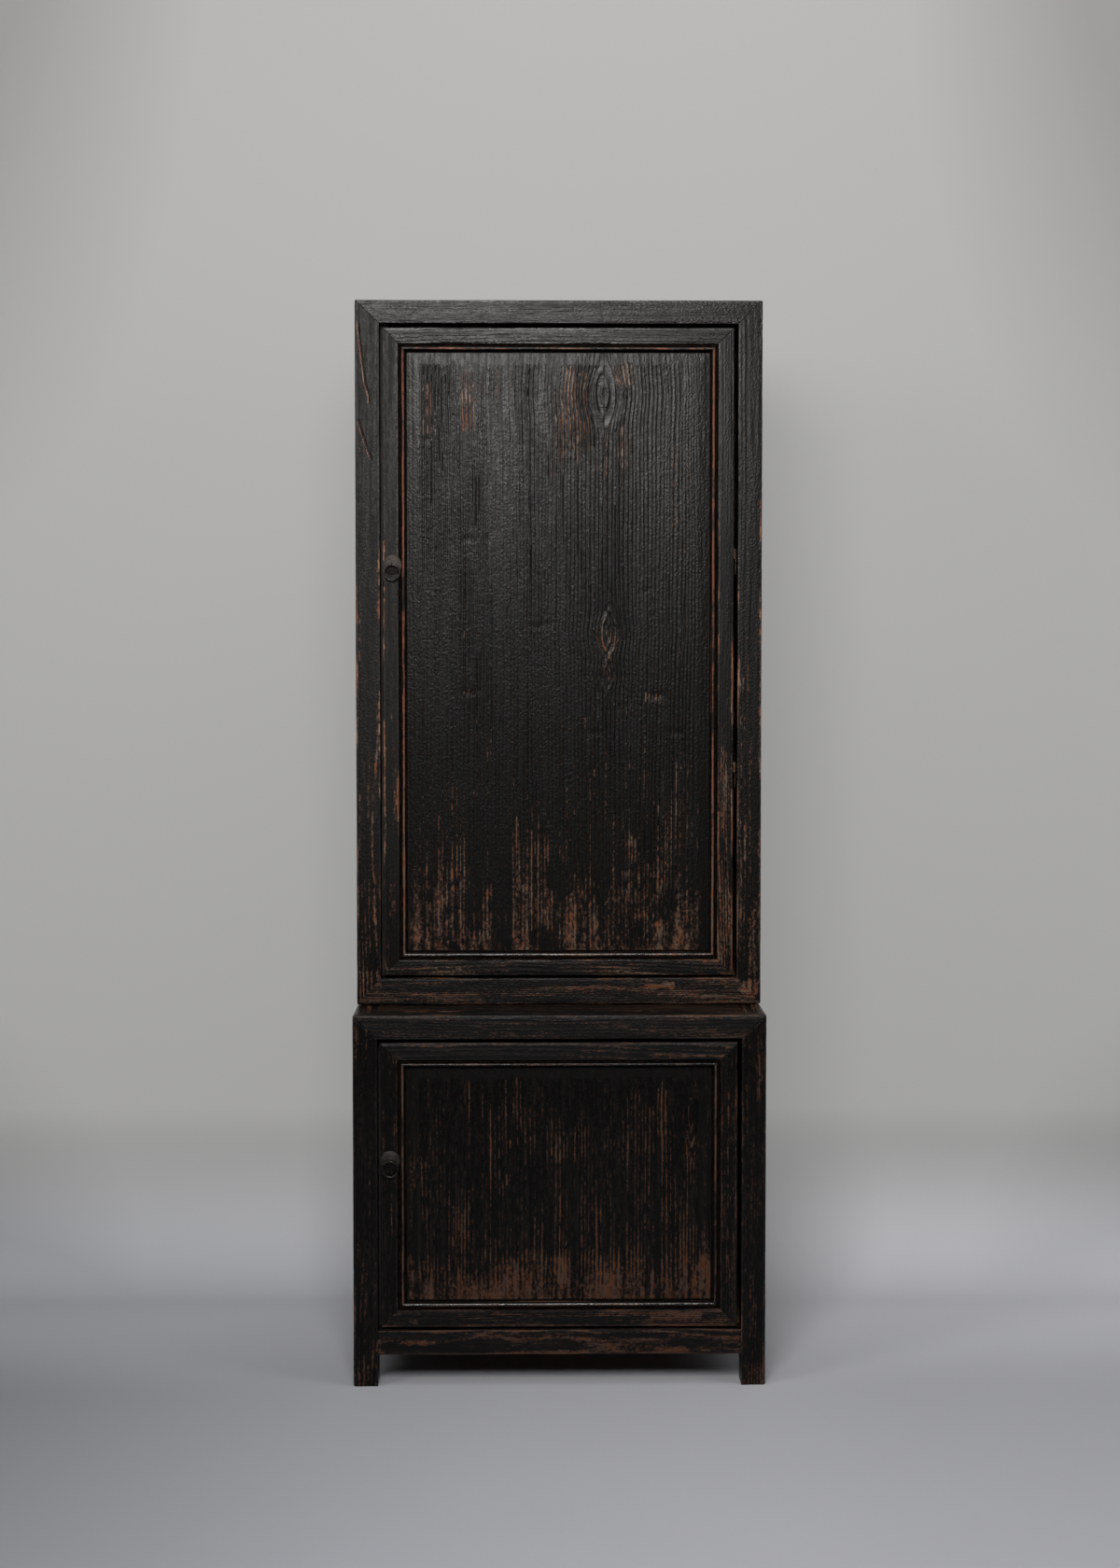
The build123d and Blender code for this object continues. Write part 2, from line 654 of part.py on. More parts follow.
def build():
    """Every node by name: a solid, or a list of separate solids."""
    lower = Case("lower", LOWER_FRONT, 0, LOWER_HEIGHT, LEG_HEIGHT, LOWER_TOP_RAIL, LOWER_BOTTOM_RAIL)
    upper = Case("upper", UPPER_FRONT, LOWER_HEIGHT, UPPER_HEIGHT, 0, UPPER_TOP_RAIL, UPPER_BOTTOM_RAIL)
    nodes = {**lower.nodes(), **upper.nodes()}

    for side, name in SIDE_NAMES.items():
        for hole in dowels(DOWEL_CLEARANCE, DOWEL_END_ROOM):
            nodes[f"lower_top_rail_{name}"] -= hole
            nodes[f"upper_bottom_rail_{name}"] -= hole
        for surface in SHELF_HEIGHTS:
            for end_name in END_NAMES.values():
                nodes[f"upper_post_{end_name}_{name}"] -= bearer(upper, side, surface, MORTISE_SLACK)
    nodes["case_dowels"] = dowels()

    for number, surface in enumerate(SHELF_HEIGHTS, start=1):
        nodes[f"upper_shelf_{number}"] = shelf(upper, surface)
    nodes["upper_shelf_bearers"] = [
        bearer(upper, side, surface) for surface in SHELF_HEIGHTS for side in (LEFT, RIGHT)
    ]
    nodes["door_stops"] = [door_stop(lower), door_stop(upper)]

    for door in (
        Door(lower, LOWER_DOOR_FLAT, LOWER_DOOR_BATTENS, LOWER_PULL_HEIGHT),
        Door(upper, UPPER_DOOR_FLAT, UPPER_DOOR_BATTENS, UPPER_PULL_HEIGHT),
    ):
        nodes.update(door.nodes())
        nodes[f"{door.case.name}_pull_ring"] = door.pull_place() * pull_ring()
        for socket, level in zip(door.sockets(), ("bottom", "top")):
            nodes[f"{door.case.name}_{level}_rail_front"] -= socket
    return nodes


os.makedirs("parts", exist_ok=True)
for node_name, made in build().items():
    solids = made if isinstance(made, list) else [made]
    export_step(Compound(children=[solid for body in solids for solid in body.solids()]),
                f"parts/{node_name}.step")
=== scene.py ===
import functools
import json
import math

import bpy
import numpy as np
from mathutils import Euler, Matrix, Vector


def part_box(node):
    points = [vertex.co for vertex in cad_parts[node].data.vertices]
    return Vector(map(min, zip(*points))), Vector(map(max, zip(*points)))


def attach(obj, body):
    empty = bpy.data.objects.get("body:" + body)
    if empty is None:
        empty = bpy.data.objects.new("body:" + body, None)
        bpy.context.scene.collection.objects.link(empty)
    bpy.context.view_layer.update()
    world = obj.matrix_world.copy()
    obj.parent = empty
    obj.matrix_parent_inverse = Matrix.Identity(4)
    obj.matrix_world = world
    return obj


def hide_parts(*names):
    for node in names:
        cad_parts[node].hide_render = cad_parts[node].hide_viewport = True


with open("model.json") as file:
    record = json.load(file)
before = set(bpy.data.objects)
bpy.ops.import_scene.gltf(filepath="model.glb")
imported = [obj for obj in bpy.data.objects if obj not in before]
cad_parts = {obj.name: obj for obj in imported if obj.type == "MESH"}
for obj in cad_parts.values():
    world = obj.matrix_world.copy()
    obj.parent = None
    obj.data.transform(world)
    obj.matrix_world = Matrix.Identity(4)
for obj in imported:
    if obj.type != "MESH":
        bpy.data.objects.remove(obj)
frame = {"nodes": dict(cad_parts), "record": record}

# The looks of a tall two-stage cupboard in worn black lacquer. Every case member, door member,
# panel and board is a dense mesh with its own grain, worn arrises and tool marks, cut to the
# same joints as the CAD solids that it replaces. Lengths are in metres, in the frame's axes.

MM = 0.001
X, Y, Z = 0, 1, 2
RIGHT, BACKWARD, UP = np.eye(3)
# the fourth finish is dirt with painted shade, for the recesses beside the beads and panels
PAINTED, RAW, RUBBED, DIRT_AND_SHADE = 0, 1, 2, 3  # finishes of a timber face
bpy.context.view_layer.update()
BODY_OF = {
    node: body
    for body, members in frame["record"]["behaviour"]["bodies"].items()
    for node in members
}

# ---- camera and stage

CAMERA_PLACE = (-0.047, -3.826, 1.2545)
CAMERA_TILT = 2.233  # degrees below the horizon
CAMERA_TURN = 0.755  # degrees to the right of straight ahead
CAMERA_LENS = 49.34
SENSOR = 36.0
SHIFT_Y = -0.0344

WALL_Y = 0.5
WALL_TOP = 5.0
SWEEP_RADIUS = 0.25
STAGE_HALF_WIDTH = 6.0
STAGE_FRONT = -7.0
FLOOR_HALF = 9.0
LAMP_TINT = (1.0, 0.98, 0.955)

# ---- surface of the timber

RING_WIDTH = 3.4 * MM  # one year's growth on a frame member
RIDGE_DEPTH = 0.6 * MM  # soft wood worn down between the hard lines of the grain
PLANING_DEPTH = 0.25 * MM
ARRIS_LOSS = 0.8 * MM
NICK_DEPTH = 1.6 * MM
JOINT_EASING = 0.25 * MM  # rounding of the edges that meet in a joint
JOINT_EASING_WIDTH = 0.9 * MM
FOOT_EASING = 2.0 * MM
EASED_ARRIS = 0.8 * MM
CASE_ARRIS = 3.0 * MM
DOOR_ARRIS = 2.2 * MM
PIVOT_ARRIS = 3.0 * MM
ARRIS_REACH = 2.6 * MM  # how far from an arris its wear is felt
CRACK_DEPTH = 1.4 * MM
CRACK_WIDTH = 1.3 * MM
STATIONS_AT_JOINT = (0.0, 0.5 * MM, 1.2 * MM, 3.0 * MM)
ROUNDING_POINTS = 5  # points round an arris
RUBBED_NEARNESS = 0.45  # faces nearer to an arris than this are of rubbed lacquer
DIRT_AND_SHADE_POLISH = -2  # duller faces than this are dirt with painted shade
SEED_STEP = 31  # between the seeds of two pieces of timber
SEED_SHIFT = 0.37  # moves the grain of each piece along, so that no two are alike

FRONT_SPACING = 1.2 * MM
OUTSIDE_SPACING = 2.2 * MM
INSIDE_SPACING = 6.0 * MM
ALONG_SPACING = 4.0 * MM
DOOR_BACK_SPACING = 1.3 * OUTSIDE_SPACING
BEAD_SPACING = 2.2 * MM
BEAD_STEPS = 10
BOARD_FACE_GRID = (2.6 * MM, 7 * MM)  # across and along the boards
BOARD_BACK_GRID = (4 * MM, 12 * MM)
PANEL_BACK_GRID = (5 * MM, 16 * MM)

DOOR_ROOM = 34 * MM  # front of a case to its bare inside
DOOR_SKIN = 7.0 * MM  # depth of the mitres of a door
DOOR_PANEL_SET = 11.5 * MM  # face of a door to the edge of its panel
DOOR_PANEL_FIELD = 1.2 * MM
DOOR_PANEL_BEVEL = 22.0 * MM
DOOR_PANEL_THICK = 7.0 * MM
FIELD_EDGE = 23.5 * MM  # edge of the panel to the first ridges
PANEL_RING_WIDTH = 6.6 * MM
KNOT_RINGS = 2.4  # rings between the heart of a knot and its rim
PANEL_RIDGE_DEPTH = 1.1 * MM
GROOVE_REACH = 4.0 * MM  # how far a panel's mesh goes into the frame
QUIRK = 5.3 * MM  # groove beside the bead
QUIRK_DEPTH = 3.4 * MM
BEAD = 5.2 * MM

PLATE_RIM = 0.7 * MM
PLATE_LINES = (13.6 * MM, 10.4 * MM, 6.6 * MM)  # radii of the turned lines
LINE_WIDTH = 0.35 * MM
LINE_DEPTH = 0.3 * MM
EYE_WIRE = 1.1 * MM  # these three are half the thickness
SHANK = 1.5 * MM
LEG_WIRE = 1.3 * MM

# Worn marks of the door panels, in millimetres: x, z, half width, half height, strength.
UPPER_MARKS = (
    (-226, 1669, 8, 54, 0.7), (-156, 1676, 11, 59, 0.95), (-131, 1702, 4, 24, 0.6),
    (-104, 1694, 8, 39, 0.6), (-10, 1567, 11, 29, 0.8), (20, 1651, 33, 85, 0.8),
    (112, 1719, 16, 22, 1.0), (112, 1588, 10, 73, 0.4),
    (238, 1708, 7, 29, 0.7), (222, 1536, 28, 150, 0.3), (217, 1427, 3, 13, 0.7),
    (84, 1275, 16, 26, 0.34), (84, 1209, 10, 18, 0.3), (212, 1277, 11, 42, 0.55),
    (162, 1166, 19, 9, 0.7), (174, 1103, 2, 55, 0.7), (203, 1105, 11, 6, 0.6),
    (120, 1092, 9, 106, 0.5), (48, 1106, 6, 26, 0.7), (53, 1021, 11, 35, 0.5),
    (-153, 1175, 13, 3, 0.7), (-77, 1019, 2, 11, 0.8), (-165, 1273, 6, 9, 0.4),
    (-73, 927, 4, 33, 1.0), (-70, 804, 5, 46, 0.85), (16, 931, 3, 84, 0.85),
    (-186, 901, 3, 77, 0.6), (-158, 849, 6, 28, 0.85), (-180, 849, 35, 28, 0.5),
    (-19, 798, 23, 41, 0.8), (-10, 821, 8, 15, 1.0), (-8, 856, 13, 98, 0.5),
    (45, 811, 26, 65, 0.75), (126, 904, 11, 24, 0.95), (145, 801, 36, 50, 0.8),
    (99, 797, 4, 39, 0.9), (80, 788, 4, 30, 0.85), (171, 940, 5, 46, 0.75),
    (187, 946, 2, 23, 0.7), (214, 906, 7, 36, 0.5), (196, 793, 3, 16, 0.8),
    (243, 769, 2, 11, 0.8), (-123, 806, 11, 18, 0.6), (-150, 782, 24, 16, 0.45),
    (53, 740, 29, 11, 0.75), (168, 745, 13, 15, 0.75), (116, 735, 7, 8, 0.75),
)
LOWER_MARKS = (
    (-167, 265, 17, 42, 0.9), (-136, 192, 6, 21, 0.8), (-45, 162, 34, 17, 0.9),
    (29, 183, 36, 22, 0.85), (62, 250, 5, 45, 0.95), (173, 183, 19, 22, 0.8),
    (236, 233, 27, 49, 0.7), (118, 260, 10, 34, 0.6), (-131, 386, 1, 138, 0.7),
    (-111, 262, 1, 91, 0.75), (-68, 395, 2, 45, 0.7), (21, 307, 2, 43, 0.8),
    (-1, 427, 4, 51, 0.7), (33, 422, 2, 56, 0.7), (81, 452, 11, 76, 0.65),
    (83, 322, 6, 41, 0.7), (156, 445, 4, 49, 0.85), (174, 465, 10, 48, 0.95),
    (-209, 441, 2, 32, 0.85), (-230, 333, 4, 64, 0.7), (-250, 353, 1, 38, 0.7),
    (-239, 452, 13, 25, 0.6), (-86, 411, 4, 6, 1.0), (-89, 352, 6, 8, 1.0),
    (221, 367, 2, 34, 0.6),
)
# Wear of the door panels: shares of the height, and levels.
UPPER_WEAR = ((0, 0.07, 0.16, 0.25, 0.36, 0.6, 0.97, 1), (0.72, 0.6, 0.52, 0.38, 0.22, 0.04, 0.02, -0.2))
LOWER_WEAR = ((0, 0.17, 0.22, 0.32, 0.5, 0.8, 0.93, 1), (0.85, 0.76, 0.56, 0.48, 0.46, 0.42, 0.28, 0.05))
# Knots of the door panels, in millimetres: x, z, half width, half height of the eye.
UPPER_KNOTS = ((78, 1688, 24, 54), (84, 1276, 17, 40), (84, 1206, 11, 28))
LOWER_KNOTS = ((-236, 428, 9, 30), (223, 462, 12, 60))
# Dents of the door panels, in millimetres: x, z, half width, half height, depth.
UPPER_DENTS = (
    (-159, 1437, 13, 3, 0.9), (-152, 1174, 16, 4, 0.7), (151, 1350, 7, 3, 0.8),
    (168, 1168, 15, 4, 0.8), (203, 1105, 11, 3, 0.7), (60, 1105, 20, 3, 0.6),
    (-226, 1610, 12, 3, 0.8), (15, 1590, 14, 3, 0.7), (-30, 1290, 20, 4, 0.5),
)
LOWER_DENTS = ((-60, 300, 10, 4, 0.6), (120, 380, 8, 3, 0.6), (-180, 500, 12, 3, 0.5))
# Wear of the frames, and how much smoother than the middle they are: heights, and levels.
FRAME_WEAR = (
    (0.0, 0.05, 0.15, 0.40, 0.625, 0.640, 0.70, 0.85, 1.00, 1.20, 1.60, 1.85),
    (0.58, 0.50, 0.44, 0.38, 0.40, 0.62, 0.57, 0.55, 0.50, 0.34, 0.08, 0.10),
)
RAIL_WEAR = ((0.60, 0.64), (0.12, 0.0))  # this much more than the posts
# How much more the arrises are worn than the faces.
ARRIS_WEAR = ((0.0, 0.60, 0.80, 1.30, 1.45, 1.85), (0.3, 0.25, 0.45, 0.8, 0.4, 0.36))
RAIL_POLISH = ((0.60, 0.9, 1.2, 1.7), (-3.2, 0.0, 0.0, 0.3))
POST_POLISH = ((0.60, 0.66, 1.2, 1.7), (1.2, 0.3, -1.1, -1.1))
# Worn places on the fronts of the frames, in millimetres: x, z, half width, half height, strength.
# Those at x -302 to -309 along the upper door's latch arris and the post beside it are wear and also a
# painted highlight.
FRAME_MARKS = (
    (-325, 662, 18, 30, 0.55), (333, 663, 17, 13, 0.95), (173, 666, 27, 6, 0.95),
    (-302, 1330, 2, 105, 1.1), (-303, 1150, 1, 80, 0.9), (-304, 950, 2, 110, 0.8),
    (-309, 1180, 1, 240, 0.8), (311, 962, 3, 52, 0.85), (322, 915, 4, 30, 0.7),
    (337, 757, 5, 45, 0.7), (316, 1143, 2, 60, 0.6), (-329, 757, 4, 38, 0.55),
    (-340, 919, 3, 60, 0.5), (-346, 1150, 2, 260, 0.65), (213, 637, 24, 3, 0.85),
    (-150, 600, 150, 6, 0.5), (199, 563, 48, 4, 0.65), (285, 354, 1, 146, 0.75),
    (275, 358, 1, 90, 0.6), (-279, 420, 1, 90, 0.6), (195, 120, 46, 7, 0.95),
    (228, 112, 4, 11, 0.9), (-251, 111, 10, 4, 0.8), (-241, 75, 34, 6, 0.8),
    (245, 62, 46, 3, 0.9), (-308, 70, 5, 11, 0.8), (312, 343, 3, 150, 0.45),
    (327, 140, 8, 60, 0.45), (-336, 20, 12, 18, 0.55), (330, 20, 14, 16, 0.55),
)
# Cracks of the upper left front post, from the top down, in millimetres: x, z.
POST_CRACKS = (
    ((-343, 1808), (-342, 1787), (-337, 1744), (-332, 1704), (-325, 1681), (-325, 1669)),
    ((-344, 1641), (-336, 1614), (-327, 1587), (-322, 1574)),
)


# ---- noise


@functools.lru_cache(maxsize=None)
def lattice(seed):
    return np.random.default_rng(seed).uniform(-1, 1, (256, 256))


def smooth(t):
    return t * t * (3 - 2 * t)


def ramp(value, low, high):
    """0 below low, 1 above high, and a smooth step between."""
    return smooth(np.clip((value - low) / (high - low), 0, 1))


def noise(u, v, seed):
    """Smooth noise from -1 to 1 over a plane, with about one bump per unit."""
    values = lattice(seed)
    size = len(values)
    column = np.floor(u).astype(int)
    row = np.floor(v).astype(int)
    s = smooth(u - column)
    t = smooth(v - row)
    here, right = column % size, (column + 1) % size
    low, high = row % size, (row + 1) % size
    below = values[here, low] * (1 - s) + values[right, low] * s
    above = values[here, high] * (1 - s) + values[right, high] * s
    return below * (1 - t) + above * t


def wander(u, seed):
    """Smooth noise along a line."""
    return noise(u, u * 0 + 0.5, seed)


def by_ring(rings, along, seed):
    """Noise that jumps from each ring of the grain to the next."""
    return noise(np.floor(rings) * 0.71 + 0.5, along, seed)


def layers(u, v, seed, octaves=3):
    """Noise with finer noise on it."""
    total = 0
    for octave in range(octaves):
        total = total + noise(u * 2**octave, v * 2**octave, seed + octave) / 2**octave
    return total / (2 - 2.0 ** (1 - octaves))


def crest(rings):
    """Height of the grain's ridges, 0 in the soft wood and 1 on each hard line."""
    return (0.5 - 0.5 * np.cos(2 * math.pi * rings)) ** 2.0


# ---- meshes


def mesh_piece(name, points, faces, kinds, materials, smooth_angle=40, **attributes):
    """An object from points, groups of faces, the numbers of the faces' materials, and what each
    point tells the shaders."""
    mesh = bpy.data.meshes.new(name)
    mesh.from_pydata(points, [], [corners for group in faces for corners in group.tolist()])
    mesh.polygons.foreach_set("material_index", np.concatenate(kinds).astype(np.int32))
    for attribute, values in attributes.items():
        kind, field = ("FLOAT_VECTOR", "vector") if attribute == "grain" else ("FLOAT", "value")
        layer = mesh.attributes.new(attribute, kind, "POINT")
        layer.data.foreach_set(field, values.astype(np.float32).ravel())
    mesh.shade_smooth()
    mesh.set_sharp_from_angle(angle=math.radians(smooth_angle))
    for material in materials:
        mesh.materials.append(material)
    piece = bpy.data.objects.new(name, mesh)
    bpy.context.scene.collection.objects.link(piece)
    return piece


def grid_faces(rows, columns, closed=False):
    """Quads of a grid of points, stored row by row; closed joins the last column to the first."""
    wide = columns if closed else columns - 1
    row, column = np.meshgrid(np.arange(rows - 1), np.arange(wide), indexing="ij")
    here = row * columns + column
    beside = row * columns + (column + 1) % columns
    return np.stack([here, beside, beside + columns, here + columns], -1).reshape(-1, 4)


def stacked(parts):
    """Points of several parts put one after the other, and the parts' groups of faces to match."""
    starts = np.cumsum([0] + [len(points) for points, *_ in parts])
    faces = [group + start for (_, groups, *_), start in zip(parts, starts) for group in groups]
    return np.concatenate([points for points, *_ in parts]), faces


def stand_for(piece, node):
    """The piece takes the place of a CAD node, on the node's body."""
    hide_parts(node)
    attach(piece, BODY_OF[node])


def timber_piece(node, parts, materials=None):
    """A piece for a CAD node; a part is its points, its groups of faces, their kinds and its looks."""
    points, faces = stacked(parts)
    kinds = [kind for part in parts for kind in part[2]]
    looks = {name: np.concatenate([part[3][name] for part in parts]) for name in parts[0][3]}
    materials = materials or TIMBER_MATERIALS
    stand_for(mesh_piece(node + "_timber", points, faces, kinds, materials, **looks), node)


def others(axis):
    """The two other axes, in their order."""
    return [i for i in range(3) if i != axis]


def in_space(axis, along, *across):
    """Places or directions in space, from what they are along one axis and the two others."""
    parts = list(across)
    parts.insert(axis, along)
    return np.stack(np.broadcast_arrays(*parts), -1)


# ---- frame members


def normal_of(direction):
    """Outward normal of a side that runs anticlockwise."""
    return np.array([direction[1], -direction[0]])


def corner_turns(corners):
    """Of each corner of an outline: place, radius, directions in and out, angle, and how far
    the rounding reaches along its sides."""
    turns = []
    for before, here, after in zip(corners[-1:] + corners[:-1], corners, corners[1:] + corners[:1]):
        into = (here - before)[:2]
        out = (after - here)[:2]
        into /= np.linalg.norm(into)
        out /= np.linalg.norm(out)
        angle = math.atan2(into[0] * out[1] - into[1] * out[0], into @ out)
        turns.append((here[:2], here[2], into, out, angle, abs(here[2] * math.tan(angle / 2))))
    return turns


def trace(corners, spacing_of):
    """Points, outward normals and nearness to an arris, anticlockwise round a closed outline.
    A corner is (b, c, radius); spacing_of(normal) is the distance between points of a side."""
    corners = [np.array(corner, float) for corner in corners]
    area = sum(p[0] * q[1] - q[0] * p[1] for p, q in zip(corners, corners[1:] + corners[:1]))
    if area < 0:
        corners.reverse()
    turns = corner_turns(corners)
    points, normals, arris = [], [], []
    for turn, following in zip(turns, turns[1:] + turns[:1]):
        place, radius, into, out, angle, reach = turn
        b, c = normal_of(into)
        if radius > 0:
            centre = place - into * reach - normal_of(into) * radius
            for share in np.linspace(0, 1, ROUNDING_POINTS):
                cos, sin = math.cos(angle * share), math.sin(angle * share)
                normals.append(np.array([b * cos - c * sin, b * sin + c * cos]))
                points.append(centre + normals[-1] * radius)
                arris.append(0.0)
        else:
            middle = normal_of(into) + normal_of(out)
            points.append(place)
            normals.append(middle / np.linalg.norm(middle))
            arris.append(0.0 if abs(angle) > math.radians(60) else 1.0)
        start = place + out * reach
        end = following[0] - following[2] * following[5]
        length = np.linalg.norm(end - start)
        steps = max(1, math.ceil(length / spacing_of(normal_of(out))))
        for share in np.arange(1, steps) / steps:
            points.append(start + (end - start) * share)
            normals.append(normal_of(out))
            arris.append(min(share, 1 - share) * length)
    nearness = np.exp(-((np.array(arris) / ARRIS_REACH) ** 2))
    return np.array(points), np.array(normals), nearness


def cut_by(planes, axis):
    """Where each line of a member starts and ends: it is kept on the positive side of every plane."""

    def reach(section):
        start = np.full(len(section), -1e9)
        end = np.full(len(section), 1e9)
        for point, normal in planes:
            slope = sum((section[:, k] - point[i]) * normal[i] for k, i in enumerate(others(axis)))
            limit = point[axis] - slope / normal[axis]
            if normal[axis] > 0:
                start = np.maximum(start, limit)
            else:
                end = np.minimum(end, limit)
        return start, end

    return reach


def stations(start, end):
    """Places along each line of a member, closer together at its joints."""
    near = np.array(STATIONS_AT_JOINT)
    count = max(2, math.ceil((end.max() - start.min()) / ALONG_SPACING))
    inner_start, inner_end = start + near[-1], end - near[-1]
    rows = [start + margin for margin in near]
    for share in np.linspace(0, 1, count + 1)[1:-1]:
        rows.append(inner_start + (inner_end - inner_start) * share)
    rows += [end - margin for margin in near[::-1]]
    return np.array(rows)


def member_relief(b, c, a, around, nearness, to_end, easing, seed):
    """Depth of wear below the sawn surface of a member, with its ring count and ridge height."""
    rng = np.random.default_rng(seed)
    bearing = rng.uniform(0, 2 * math.pi)
    far = rng.uniform(45, 120) * MM
    heart_b = b.mean() + far * math.cos(bearing)
    heart_c = c.mean() + far * math.sin(bearing)
    drift_b = 5 * MM * wander(a / 0.33, seed) + 1.2 * MM * wander(a / 0.07, seed + 1)
    drift_c = 5 * MM * wander(a / 0.41, seed + 2)
    distance = np.hypot(b - heart_b + drift_b, c - heart_c + drift_c)
    distance = distance + 0.7 * MM * noise(around / 0.011, a / 0.09, seed + 3)
    rings = distance / RING_WIDTH
    ridge = crest(rings) * (0.72 + 0.28 * by_ring(rings, a / 0.3, seed + 6))
    strength = 0.55 + 0.45 * noise(around / 0.03, a / 0.25, seed + 4)
    relief = RIDGE_DEPTH * (1 - ridge) * strength
    relief += PLANING_DEPTH * (0.5 + 0.5 * layers(around / 0.02, a / 0.11, seed + 5))
    loss = 0.5 + 0.5 * layers(a / 0.06, around * 0 + 0.5, seed + 8)
    relief += ARRIS_LOSS * nearness * loss
    relief += NICK_DEPTH * nearness * np.maximum(0, noise(a / 0.008, around / 0.05, seed + 11) - 0.6)
    relief += easing * np.clip(1 - to_end / max(JOINT_EASING_WIDTH, easing), 0, 1) ** 2
    return relief, distance, ridge


def crack(x, z, path):
    """1 along the bottom of a crack and 0 beside it."""
    path_x, path_z = MM * np.array(path, float).T
    beside = (x - np.interp(-z, -path_z, path_x)) / CRACK_WIDTH
    return np.exp(-(beside**2)) * (z < path_z[0]) * (z > path_z[-1])


def frame_marks_wear(x, z, seed):
    """Strongest of the worn places on the fronts, some of which are also painted highlights, with ragged
    edges.
    """
    wear = np.full_like(x, -1.0)
    ragged = 5.0 * MM * layers(x / 0.011, z / 0.011, seed)
    for mark_x, mark_z, half_width, half_height, strength in FRAME_MARKS:
        beside = np.abs(x - mark_x * MM) - half_width * MM
        above = np.abs(z - mark_z * MM) - half_height * MM
        fall = ramp(np.maximum(beside, above) + ragged, -3.0 * MM, 6.0 * MM)
        wear = np.maximum(wear, 0.6 * strength + 0.4 - 1.2 * fall)
    return wear


def member_wear(axis, x, z, a, around, nearness, front, seed):
    """Wear of a member's lacquer, and how smooth it is."""
    wear = np.interp(z, *FRAME_WEAR) + 0.12 * ramp(x, 0.0, 0.3)
    wear = wear + 0.4 * layers(around / 0.010, a / 0.10, seed + 21)
    ragged = np.clip(0.35 + 1.3 * layers(a / 0.05, around / 0.05, seed + 20), 0, 1)
    wear += np.interp(z, *ARRIS_WEAR) * nearness * ragged
    polish = nearness + 0 * a
    if axis == X:
        wear += np.interp(z, *RAIL_WEAR)
        polish = polish + np.interp(z, *RAIL_POLISH)
    else:
        polish = polish + np.interp(z, *POST_POLISH) - 1.6 * ramp(-x, 0.0, 0.3) * ramp(z, 0.7, 1.0)
    return np.maximum(wear, frame_marks_wear(x, z, seed + 24) * front), polish


def member(node, axis, corners, reach, seed, spacing_of, kind_of, easing=JOINT_EASING):
    """A length of timber along one axis; reach(section) gives the two ends of each of its lines."""
    section, normals, nearness = trace(corners, spacing_of)
    start, end = reach(section)
    a = stations(start, end)
    b = np.broadcast_to(section[:, 0], a.shape)
    c = np.broadcast_to(section[:, 1], a.shape)
    steps = np.linalg.norm(np.roll(section, -1, 0) - section, axis=1)
    around = np.broadcast_to(np.concatenate([[0], np.cumsum(steps)[:-1]]), a.shape)
    to_end = np.minimum(a - start, end - a)
    relief, distance, ridge = member_relief(b, c, a, around, nearness, to_end, easing, seed)
    facing = in_space(axis, 0 * a, *normals.T)
    front = ramp(-facing[..., Y], 0.3, 0.7)
    x, _, z = np.moveaxis(in_space(axis, a, b, c), -1, 0)
    wear, polish = member_wear(axis, x, z, a, around, nearness, front, seed)
    for path in POST_CRACKS:
        bottom = crack(x, z, path)
        relief = relief + CRACK_DEPTH * bottom * front
        wear = wear + (1.6 * crack(x + 1.3 * CRACK_WIDTH, z, path) - 0.8 * bottom) * front
    places = in_space(axis, a, b - normals[:, 0] * relief, c - normals[:, 1] * relief).reshape(-1, 3)
    quads = grid_faces(*a.shape, closed=True)
    columns = np.arange(a.shape[1])
    caps = np.array([columns[::-1], columns + a.size - len(columns)])
    if axis == Y:
        quads, caps = quads[:, ::-1], caps[:, ::-1]
    kind = kind_of(places[quads].mean(1), facing.reshape(-1, 3)[quads].mean(1))
    rubbed = np.broadcast_to(nearness, a.shape).ravel()[quads].mean(1) > RUBBED_NEARNESS
    kind = np.where(rubbed & (kind == PAINTED), RUBBED, kind)
    looks = {
        "grain": np.stack([distance, around, a + seed * SEED_SHIFT], -1),
        "wear": wear,
        "ridge": 0.15 + 0.55 * ridge,
        "polish": polish,
    }
    timber_piece(node, [(places, [quads, caps], [kind, np.full(2, PAINTED)], looks)])


# ---- cases


